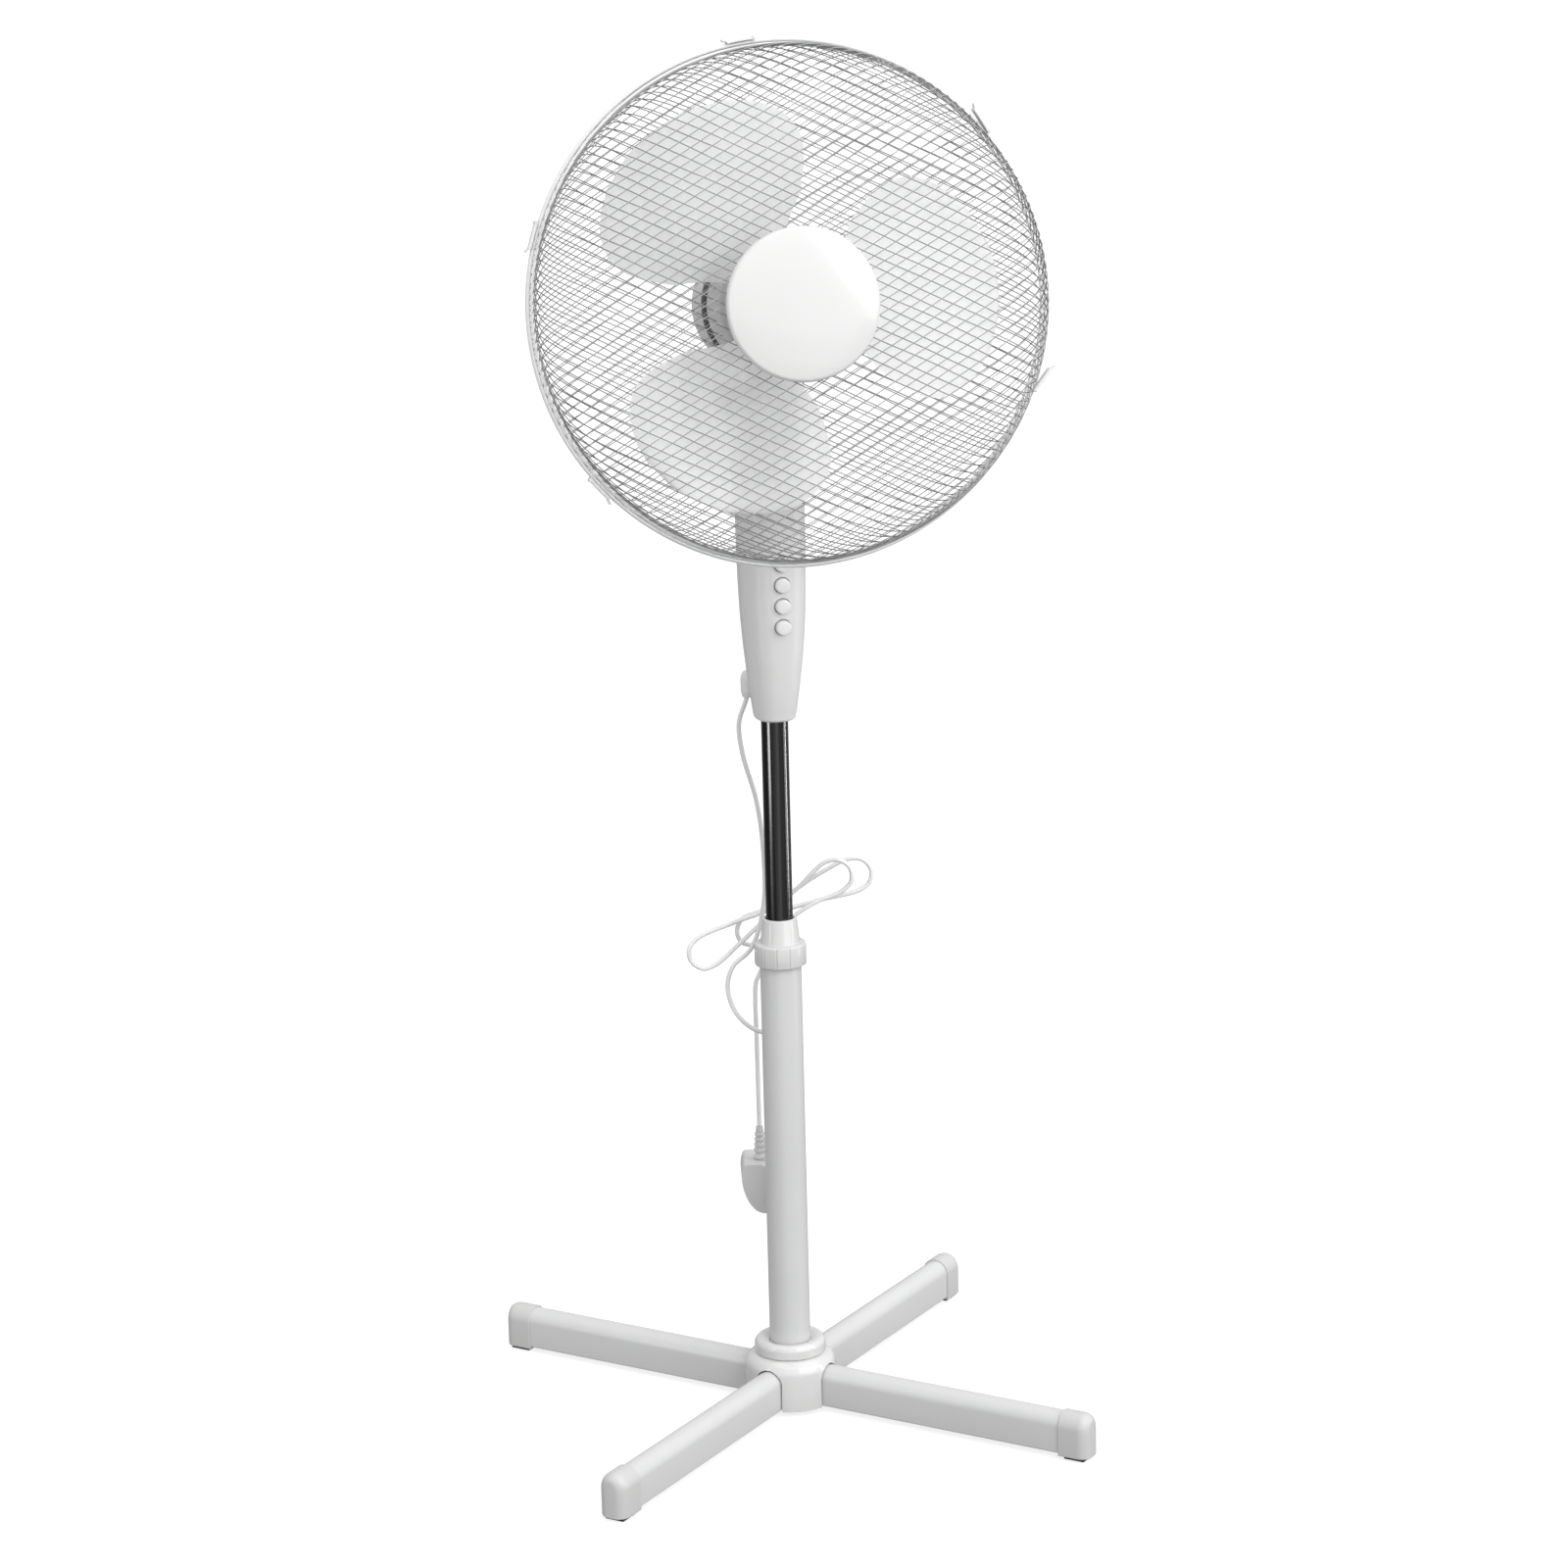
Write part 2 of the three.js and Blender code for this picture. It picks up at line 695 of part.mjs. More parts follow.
// A lattice of crossing wires laid over a dome, as one skin of blocks and struts.
function latticeSkin(dome) {
  const half = LATTICE_WIRE / 2;
  const turn = LATTICE_TURN * DEGREE;
  const tilt = Math.atan2(CELL_SHORT, CELL_LONG);
  const along = [
    [Math.cos(turn + tilt), Math.sin(turn + tilt)],
    [Math.cos(turn - tilt), Math.sin(turn - tilt)],
  ];
  const side = Math.hypot(CELL_LONG, CELL_SHORT) / 2;
  const reach = half / Math.sin(2 * tilt);
  const vertices = [];
  const faces = [];
  const point = (x, y, lift) => vertices.push(domePoint(dome, x, y, lift)) - 1;
  const quad = (a, b, c, d) => faces.push([a, b, c], [a, c, d]);
  const blocks = new Map();
  const centre = (i, j) => [
    side * (i * along[0][0] + j * along[1][0]),
    side * (i * along[0][1] + j * along[1][1]),
  ];
  const inside = ([x, y]) => Math.hypot(x, y) < dome.edge - 2 * LATTICE_WIRE;
  const most = Math.ceil(dome.edge / side) * 2;
  for (let i = -most; i <= most; i++) {
    for (let j = -most; j <= most; j++) {
      const [x, y] = centre(i, j);
      if (!inside([x, y])) continue;
      const corners = {};
      for (const su of [-1, 1]) {
        for (const sv of [-1, 1]) {
          const px = x + reach * (su * along[0][0] + sv * along[1][0]);
          const py = y + reach * (su * along[0][1] + sv * along[1][1]);
          corners[`${su},${sv}`] = [point(px, py, half), point(px, py, -half), px, py];
        }
      }
      blocks.set(`${i},${j}`, corners);
      const loop = ["-1,-1", "1,-1", "1,1", "-1,1"].map((key) => corners[key]);
      quad(...loop.map((corner) => corner[0]).reverse());
      quad(...loop.map((corner) => corner[1]));
    }
  }
  // A strut leaves a block through two corners and ends in the next block or at the ring.
  const strut = (i, j, di, dj) => {
    const here = blocks.get(`${i},${j}`);
    const there = blocks.get(`${i + di},${j + dj}`);
    if (there && di + dj < 0) return;
    const s = di + dj;
    const pick = (corners, end, way) => corners[di ? `${end},${way}` : `${way},${end}`];
    const [left, right] = [pick(here, s, -1), pick(here, s, 1)];
    const lanes = [left, right].map((corner) => {
      const [, , x, y] = corner;
      const [dx, dy] = along[di ? 0 : 1].map((v) => v * s);
      const dot = x * dx + y * dy;
      const toEdge = -dot + Math.sqrt(dot * dot - x * x - y * y + dome.edge ** 2);
      const full = side - 2 * reach;
      return { x, y, dx, dy, length: there ? full : toEdge, corner };
    });
    const flat = Math.hypot(lanes[0].x, lanes[0].y) + side < 0.7 * dome.edge;
    const pieces = flat ? 1 : Math.max(1, Math.ceil(lanes[0].length / 48));
    let before = lanes.map((lane) => lane.corner);
    for (let k = 1; k <= pieces; k++) {
      let after;
      if (k === pieces && there) {
        after = [pick(there, -s, -1), pick(there, -s, 1)];
      } else {
        after = lanes.map((lane) => {
          const x = lane.x + (lane.dx * lane.length * k) / pieces;
          const y = lane.y + (lane.dy * lane.length * k) / pieces;
          return [point(x, y, half), point(x, y, -half)];
        });
      }
      const [a, b, c, d] = [before[0], before[1], after[1], after[0]];
      const turnedOver = di ? s < 0 : s > 0;
      const lay = (w, x, y, z) => (turnedOver ? quad(z, y, x, w) : quad(w, x, y, z));
      lay(a[0], b[0], c[0], d[0]);
      lay(d[1], c[1], b[1], a[1]);
      lay(a[1], a[0], d[0], d[1]);
      lay(b[0], b[1], c[1], c[0]);
      if (k === pieces && !there) lay(d[1], d[0], c[0], c[1]);
      before = after;
    }
  };
  for (const key of blocks.keys()) {
    const [i, j] = key.split(",").map(Number);
    strut(i, j, 1, 0);
    strut(i, j, -1, 0);
    strut(i, j, 0, 1);
    strut(i, j, 0, -1);
  }
  const geometry = new THREE.BufferGeometry();
  geometry.setAttribute("position", new THREE.Float32BufferAttribute(vertices.flat(), 3));
  geometry.setIndex(faces.flat());
  return solid(geometry);
}

function guardRing() {
  return solid(new THREE.TorusGeometry(GUARD_RADIUS, RING_WIRE, 6, 40));
}

function buildGuards() {
  const frontDome = domeMap(FRONT_DEPTH, FRONT_SQUARENESS);
  const front = join(latticeSkin(frontDome), guardRing());
  place(head, "front_guard", onMotorAxis(front.translate([0, 0, FRONT_RING])), whitePaint);
  const rearDome = domeMap(REAR_DEPTH, REAR_SQUARENESS);
  const plate = pipe(20.6, 58, REAR_DEPTH - 1.2, REAR_DEPTH + 1.2);
  const lattice = cut(latticeSkin(rearDome), rod(52, 0, 120));
  const rear = join(lattice, plate, guardRing());
  const turnedBack = rear.mirror([0, 0, 1]).translate([0, 0, REAR_RING]);
  place(head, "rear_guard", onMotorAxis(turnedBack), whitePaint);
  const nut = turned([[20.6, 89.6], [33, 89.6], [35, 92], [35, 98], [30, 100], [20.6, 100]], 24);
  place(head, "guard_nut", onMotorAxis(nut), whitePlastic);
}

function buildBadge() {
  const back = FRONT_RING + FRONT_DEPTH + LATTICE_WIRE / 2 + GAP;
  const badge = turned(
    [
      [0, back],
      [BADGE_RADIUS - 1, back],
      [BADGE_RADIUS, back + 1],
      [BADGE_RADIUS, back + 7],
      [BADGE_RADIUS - 1.6, back + 9.4],
      [50, back + 11.6],
      [30, back + 13.6],
      [0, back + 14.6],
    ],
    32,
  );
  place(head, "guard_badge", onMotorAxis(badge), whitePlastic);
}

// A clip spans both rings and swings out about its lower end.
function buildClips() {
  const rise = RING_WIRE + 0.6;
  const [low, high] = [REAR_RING - RING_WIRE - 0.6, FRONT_RING + RING_WIRE + 0.6];
  const wall = 1.6;
  const lip = (z) => box([1.6, -10.5, z], [rise + wall, CLIP_LENGTH - 10, z + wall]);
  CLIP_ANGLES.forEach((angle, i) => {
    const clip = join(
      box([rise, -10.5, low - wall], [rise + wall, CLIP_LENGTH - 10, high + wall]),
      lip(low - wall),
      lip(high),
      rod(2.4, low - wall, high + wall, 12).translate([rise + wall, -9, 0]),
    );
    const pivot = [rise + wall, -9, 0];
    const opened = clip
      .translate(pivot.map((v) => -v))
      .rotate([0, 0, -CLIP_OPENINGS[i]])
      .translate(pivot);
    const onRing = opened.translate([GUARD_RADIUS, 0, 0]).rotate([0, 0, angle]);
    place(head, `guard_clip_${i + 1}`, onMotorAxis(onRing), whitePlastic);
  });
}

// ---------- Blades ----------
function blade() {
  const rows = 7;
  const columns = 6;
  const rings = [];
  for (let i = 0; i <= rows; i++) {
    const u = i / rows;
    const radius = 19 + (BLADE_TIP - 19) * u;
    const swell = 0.5 + 0.5 * Math.min(1, u / 0.45) ** 0.8;
    const round = Math.sqrt(1 - 0.93 * Math.max(0, (u - 0.5) / 0.5) ** 3.2);
    const halfAngle = 43 * DEGREE * swell * round;
    const pitch = (30 - 13 * u) * DEGREE;
    const upper = [];
    const lower = [];
    for (let k = 0; k <= columns; k++) {
      const v = (2 * k) / columns - 1;
      const angle = v * halfAngle;
      const rise = -Math.tan(pitch) * radius * angle * 0.8 + 5 * (1 - v * v);
      const thick = 0.6 + 1.0 * (1 - v * v) * (1 - 0.5 * u);
      const [x, y] = [radius * Math.cos(angle), radius * Math.sin(angle)];
      upper.push([x, y, rise + thick]);
      lower.unshift([x, y, rise - thick]);
    }
    rings.push([...upper, ...lower]);
  }
  return lofted(rings);
}

function buildBlades() {
  const hub = turned([
    [0, BLADE_CENTRE - 24],
    [HUB_OF_BLADES, BLADE_CENTRE - 24],
    [HUB_OF_BLADES, BLADE_CENTRE + 17],
    [HUB_OF_BLADES - 3, BLADE_CENTRE + 20],
    [0, BLADE_CENTRE + 20],
  ]);
  const parts = [hub];
  for (let i = 0; i < BLADE_COUNT; i++) {
    const angle = BLADE_FIRST_ANGLE + (360 / BLADE_COUNT) * i;
    parts.push(blade().translate([0, 0, BLADE_CENTRE]).rotate([0, 0, angle]));
  }
  const blades = cut(join(...parts), rod(4.3, 100, 200, 16));
  place(head, "fan_blades", onMotorAxis(blades), frostedPlastic);
  const nutBase = BLADE_CENTRE + 20 + GAP;
  const nut = turned([
    [0, nutBase],
    [15, nutBase],
    [14, nutBase + 9],
    [9, nutBase + 15],
    [0, nutBase + 17],
  ], 18);
  place(head, "blade_nut", onMotorAxis(cut(nut, rod(4.3, 160, 185, 16))), frostedPlastic);
}

// ---------- Mains lead ----------
const CORD_ROUTE = [
  [-20, 24, 672],
  [-21, 24, 656],
  [-28, 28, 632],
  [-25, 31, 602],
  [-14, 32, 560],
  [-9, 31, 515],
  [-10, 31, 462],
  [-22, 31, 423],
  [-39, 33, 406],
  [-44, 35, 386],
  [-37, 34, 362],
  [-21, 33, 346],
  [-4, 33, 342],
  [8, 34, 350],
  [11, 35, 365],
  [9, 36, 395],
  [8, 37, 425],
  [16, 36, 446],
  [36, 32, 461],
  [61.7, 29, 471.9],
  [69.8, 28, 481.1],
  [68.4, 28, 493.2],
  [58.4, 30, 500.2],
  [46.5, 34, 497.5],
  [22, 43, 472],
  [-2, 50, 453],
  [-34, 52, 442],
  [-67.5, 51, 429.8],
  [-75.8, 50, 420.6],
  [-74.3, 50, 408.3],
  [-64, 49, 401.3],
  [-52, 49, 404.5],
  [-30, 46, 424],
  [-1, 44, 448],
  [40, 43, 460],
  [79.1, 42, 467.9],
  [88.4, 42, 474.9],
  [90, 42, 486.5],
  [82.8, 43, 495.6],
  [71.2, 45, 496.9],
  [40, 50, 481],
  [-2, 57, 452],
  [-26, 59, 443],
  [-31, 59.5, 431],
  [-27, 59, 421],
  [-15, 58, 416],
  [-8, 56.5, 408],
  [-10, 55, 396],
  [-15.5, 54, 384],
  [-16.8, 53, 368],
  [-16.6, 52.5, 335],
  [-16.4, 53, 290],
  [-16.2, 53, 247.8],
];

function cordCurve() {
  const points = CORD_ROUTE.map((point) => new THREE.Vector3(...point));
  return new THREE.CatmullRomCurve3(points, false, "centripetal");
}

function buildCord() {
  const section = new THREE.Shape();
  for (let i = 0; i < 8; i++) {
    const [x, y] = polar(CORD_RADIUS, 45 * i);
    if (i) section.lineTo(x, y);
    else section.moveTo(x, y);
  }
  const tube = new THREE.ExtrudeGeometry(section, {
    steps: CORD_STEPS,
    extrudePath: cordCurve(),
    bevelEnabled: false,
  });
  place(fan, "power_cord", solid(tube), cordPlastic);
  const relief = turned([
    [0, 0],
    [6, 0],
    [6, 3],
    [4.6, 4],
    [4.6, 7],
    [5.4, 8],
    [5.4, 11],
    [4, 12],
    [3.4, RELIEF_LENGTH],
    [0, RELIEF_LENGTH],
  ], 14);
  const [x, y, z] = CORD_ROUTE.at(-1);
  const below = z - 0.5 - RELIEF_LENGTH;
  place(fan, "plug_strain_relief", relief.translate([x, y, below]), cordPlastic);
  buildPlug();
  buildTie();
}

function buildPlug() {
  const side = [
    [-12, 24],
    [-15, 14],
    [-14, 2],
    [-9, -12],
    [-1, -21],
    [7, -23],
    [9, -20],
    [9, 20],
    [4, 24],
  ];
  const width = [];
  for (let angle = 15; angle < 375; angle += 30) {
    const [c, s] = polar(1, angle);
    width.push([30 * c, 23 * Math.sign(s) * Math.abs(s) ** 0.7]);
  }
  const profile = extruded(side, -23, 23).rotate([90, 0, 0]);
  const rounded = extruded(width, -30, 30).intersect(profile);
  const plug = new THREE.Group();
  plug.position.set(-19, 57, 192);
  plug.rotation.z = -6 * DEGREE;
  fan.add(plug);
  place(plug, "plug_body", rounded, cordPlastic);
  const face = 9 + GAP;
  place(plug, "plug_pin_earth", box([face, -2, -16], [face + 22.7, 2, -8]), brass);
  for (const [name, y] of [["live", -11], ["neutral", 11]]) {
    place(plug, `plug_pin_${name}`, box([face, y - 3.2, 8], [face + 17.7, y + 3.2, 12]), brass);
  }
}

// A band round the three strands that cross behind the post.
function buildTie() {
  const band = (grow) => {
    const [half, rise, corner] = [10 + grow, 8.8 + grow, 5 + grow];
    const points = [];
    for (let angle = 0; angle < 360; angle += 30) {
      const [c, s] = polar(corner, angle + 15);
      points.push([c + Math.sign(c) * (half - corner), s + Math.sign(s) * (rise - corner)]);
    }
    return points;
  };
  const tie = extruded(band(1.2), -2.5, 2.5, band(0)).rotate([90, 0, 90]);
  place(fan, "cord_tie", tie.translate([-1.5, 50.4, 450.5]), blackPlastic);
}

buildLegs();
buildFeet();
buildHub();
buildPost();
buildColumn();
buildButtons();
buildNeck();
buildTiltBracket();
buildMotor();
buildGuards();
buildBadge();
buildClips();
buildBlades();
buildCord();

export default fan;
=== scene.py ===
import json
import math

import bmesh
import bpy
import numpy as np
from mathutils import Matrix, Vector


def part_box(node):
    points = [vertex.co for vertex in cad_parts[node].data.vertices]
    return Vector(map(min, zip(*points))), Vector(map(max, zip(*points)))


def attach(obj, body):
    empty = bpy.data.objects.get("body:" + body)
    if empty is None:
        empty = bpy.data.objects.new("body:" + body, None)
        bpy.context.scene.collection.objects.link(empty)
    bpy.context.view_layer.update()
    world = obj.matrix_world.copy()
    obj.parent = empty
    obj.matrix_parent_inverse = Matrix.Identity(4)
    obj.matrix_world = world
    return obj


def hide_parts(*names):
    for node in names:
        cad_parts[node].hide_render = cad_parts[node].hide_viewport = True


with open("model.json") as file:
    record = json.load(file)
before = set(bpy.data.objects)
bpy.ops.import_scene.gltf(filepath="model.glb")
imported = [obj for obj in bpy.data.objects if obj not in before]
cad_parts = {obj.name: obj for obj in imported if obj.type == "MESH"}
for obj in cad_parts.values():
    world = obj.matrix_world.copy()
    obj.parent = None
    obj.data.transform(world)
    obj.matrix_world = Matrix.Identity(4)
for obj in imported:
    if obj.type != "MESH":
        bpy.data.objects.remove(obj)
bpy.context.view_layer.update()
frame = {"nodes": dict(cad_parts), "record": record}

MM = 0.001
SEGMENTS = 96

# ---------- Frames, from the joints ----------
JOINTS = {joint["name"]: joint for joint in frame["record"]["behaviour"]["joints"]}


def axes(x, y, z, origin):
    matrix = Matrix((x, y, z)).transposed().to_4x4()
    matrix.translation = origin
    return matrix


def joint_vector(name, key):
    return Vector(JOINTS[name][key])


STAND_X = joint_vector("tilt", "axis").normalized()
STAND = axes(STAND_X, Vector((0, 0, 1)).cross(STAND_X), Vector((0, 0, 1)), Vector((0, 0, 0)))
TILT_ORIGIN = joint_vector("tilt", "pos_m")
HEAD_UP = joint_vector("oscillation", "axis").normalized()
HEAD_FORWARD = joint_vector("rotor_spin", "axis").normalized()
HEAD_RIGHT = (-HEAD_FORWARD).cross(HEAD_UP)
HEAD = axes(HEAD_RIGHT, -HEAD_FORWARD, HEAD_UP, TILT_ORIGIN)
TILTING = axes(STAND_X, HEAD_UP.cross(STAND_X), HEAD_UP, TILT_ORIGIN)
MOTOR_RISE = (joint_vector("rotor_spin", "pos_m") - TILT_ORIGIN).dot(HEAD_UP)
# Along the motor's axis: +Z forward, +Y up
MOTOR = HEAD @ Matrix.Translation((0, 0, MOTOR_RISE)) @ Matrix.Rotation(math.pi / 2, 4, "X")


# ---------- Camera, floor and light ----------
def place_camera():
    position = Vector((-0.4848, -3.5673, 1.4779))
    heading = math.radians(7.85)
    down = math.radians(13.99)
    roll = math.radians(-1.43)
    forward = Vector((
        math.sin(heading) * math.cos(down),
        math.cos(heading) * math.cos(down),
        -math.sin(down),
    ))
    level = forward.cross(Vector((0, 0, 1))).normalized()
    upright = level.cross(forward)
    right = level * math.cos(roll) + upright * math.sin(roll)
    up = upright * math.cos(roll) - level * math.sin(roll)
    data = bpy.data.cameras.new("camera")
    data.sensor_width = 36
    data.lens = 96.48
    data.clip_end = 200
    camera = bpy.data.objects.new("camera", data)
    camera.matrix_world = axes(right, up, -forward, position)
    bpy.context.collection.objects.link(camera)
    bpy.context.scene.camera = camera


# A soft, even light from one direction: where it comes from, its strength and how wide it is.
def broad_light(name, towards, strength, degrees):
    data = bpy.data.lights.new(name, "SUN")
    data.energy = strength
    data.angle = math.radians(degrees)
    light = bpy.data.objects.new(name, data)
    light.rotation_euler = Vector(towards).to_track_quat("Z", "Y").to_euler()
    bpy.context.collection.objects.link(light)


# A tall, upright light that faces the post.
def strip_light(name, place, power, width=0.16):
    data = bpy.data.lights.new(name, "AREA")
    data.shape = "RECTANGLE"
    data.size = width
    data.size_y = 1.6
    data.energy = power
    light = bpy.data.objects.new(name, data)
    light.location = place
    towards = Vector((place[0], place[1], 0))
    light.rotation_euler = towards.to_track_quat("Z", "Y").to_euler()
    light.visible_camera = False
    bpy.context.collection.objects.link(light)
    return light


# Soft panels whose reflections run up the chromed tube, and which light nothing else.
def light_tube():
    receivers = bpy.data.collections.new("chromed_tube")
    receivers.objects.link(bpy.data.objects["post_inner_tube"])
    for name, place, power, width in (
        ("tube_left", (-1.42, -0.78, 0.95), 30, 0.5),
        ("tube_right", (1.1, 0.0, 0.95), 9, 0.07),
    ):
        light = strip_light(name, place, power, width)
        light.light_linking.receiver_collection = receivers


def build_stage():
    scene = bpy.context.scene
    scene.view_settings.view_transform = "Standard"
    world = bpy.data.worlds.new("studio")
    world.use_nodes = True
    background = world.node_tree.nodes["Background"]
    background.inputs["Color"].default_value = (1, 1, 1, 1)
    background.inputs["Strength"].default_value = 0.33
    scene.world = world
    half = 60
    corners = [(-half, -half, 0), (half, -half, 0), (half, half, 0), (-half, half, 0)]
    mesh = bpy.data.meshes.new("floor")
    mesh.from_pydata(corners, [], [(0, 1, 2, 3)])
    floor = bpy.data.objects.new("floor", mesh)
    bpy.context.collection.objects.link(floor)
    material = bpy.data.materials.new("floor")
    material.use_nodes = True
    shader = material.node_tree.nodes["Principled BSDF"]
    shader.inputs["Base Color"].default_value = (0.25, 0.25, 0.25, 1)
    shader.inputs["Roughness"].default_value = 1
    shader.inputs["Emission Color"].default_value = (1, 1, 1, 1)
    shader.inputs["Emission Strength"].default_value = 0.78
    mesh.materials.append(material)
    # The white ground is for the camera only: it shouldn't brighten the fan's underside.
    floor.visible_diffuse = False
    floor.visible_glossy = False
    broad_light("sky", (0, 0, 1), 1.3, 178)
    broad_light("overhead", (0.15, -0.1, 1), 1.1, 70)
    broad_light("right_front", (0.6, -0.7, 0.4), 1.15, 50)
    broad_light("front", (-0.15, -1, 0.15), 0.65, 70)
    broad_light("sparkle", (0.35, -0.75, 0.8), 0.4, 7)
    strip_light("right_strip", (1.55, -0.4, 0.8), 4.5)
    strip_light("left_strip", (-1.5, -0.55, 0.8), 3)


# ---------- Materials ----------
def node(tree, kind, **values):
    made = tree.nodes.new(kind)
    for key, value in values.items():
        setattr(made, key, value)
    return made


def noise(tree, scale, detail=2.0, stretch=(1, 1, 1)):
    place = node(tree, "ShaderNodeTexCoord")
    mapping = node(tree, "ShaderNodeMapping")
    mapping.inputs["Scale"].default_value = stretch
    texture = node(tree, "ShaderNodeTexNoise")
    texture.inputs["Scale"].default_value = scale
    texture.inputs["Detail"].default_value = detail
    tree.links.new(place.outputs["Object"], mapping.inputs["Vector"])
    tree.links.new(mapping.outputs["Vector"], texture.inputs["Vector"])
    return texture.outputs["Fac"]


def ramp(tree, source, low, high, start=0.3, stop=0.7):
    made = node(tree, "ShaderNodeValToRGB")
    made.color_ramp.elements[0].position = start
    made.color_ramp.elements[0].color = (*low, 1)
    made.color_ramp.elements[1].position = stop
    made.color_ramp.elements[1].color = (*high, 1)
    tree.links.new(source, made.inputs["Fac"])
    return made.outputs["Color"]


def spread(tree, source, low, high):
    made = node(tree, "ShaderNodeMapRange")
    made.inputs["From Min"].default_value = 0.3
    made.inputs["From Max"].default_value = 0.7
    made.inputs["To Min"].default_value = low
    made.inputs["To Max"].default_value = high
    tree.links.new(source, made.inputs["Value"])
    return made.outputs["Result"]


def bump(tree, source, distance, strength=1.0):
    made = node(tree, "ShaderNodeBump")
    made.inputs["Distance"].default_value = distance
    made.inputs["Strength"].default_value = strength
    tree.links.new(source, made.inputs["Height"])
    return made.outputs["Normal"]


# A finish whose colour, gloss and surface vary finely, as a moulded, painted or drawn one does. On the
# chromed tube the streaks in the colour are also painted reflection.
def finish(name, low, high, rough, mottle, grain, depth, stretch=(1, 1, 1), **sockets):
    material = bpy.data.materials.new(name)
    material.use_nodes = True
    tree = material.node_tree
    shader = tree.nodes["Principled BSDF"]
    cloud = noise(tree, mottle, 3, stretch)
    tree.links.new(ramp(tree, cloud, low, high), shader.inputs["Base Color"])
    patch = noise(tree, mottle * 2.7, 2, stretch)
    tree.links.new(spread(tree, patch, *rough), shader.inputs["Roughness"])
    fine = noise(tree, grain, 2, stretch)
    tree.links.new(bump(tree, fine, depth), shader.inputs["Normal"])
    for key, value in sockets.items():
        shader.inputs[key.replace("_", " ")].default_value = value
    return material


def grey(value, tint=(1, 1, 1)):
    return tuple(value * t for t in tint)


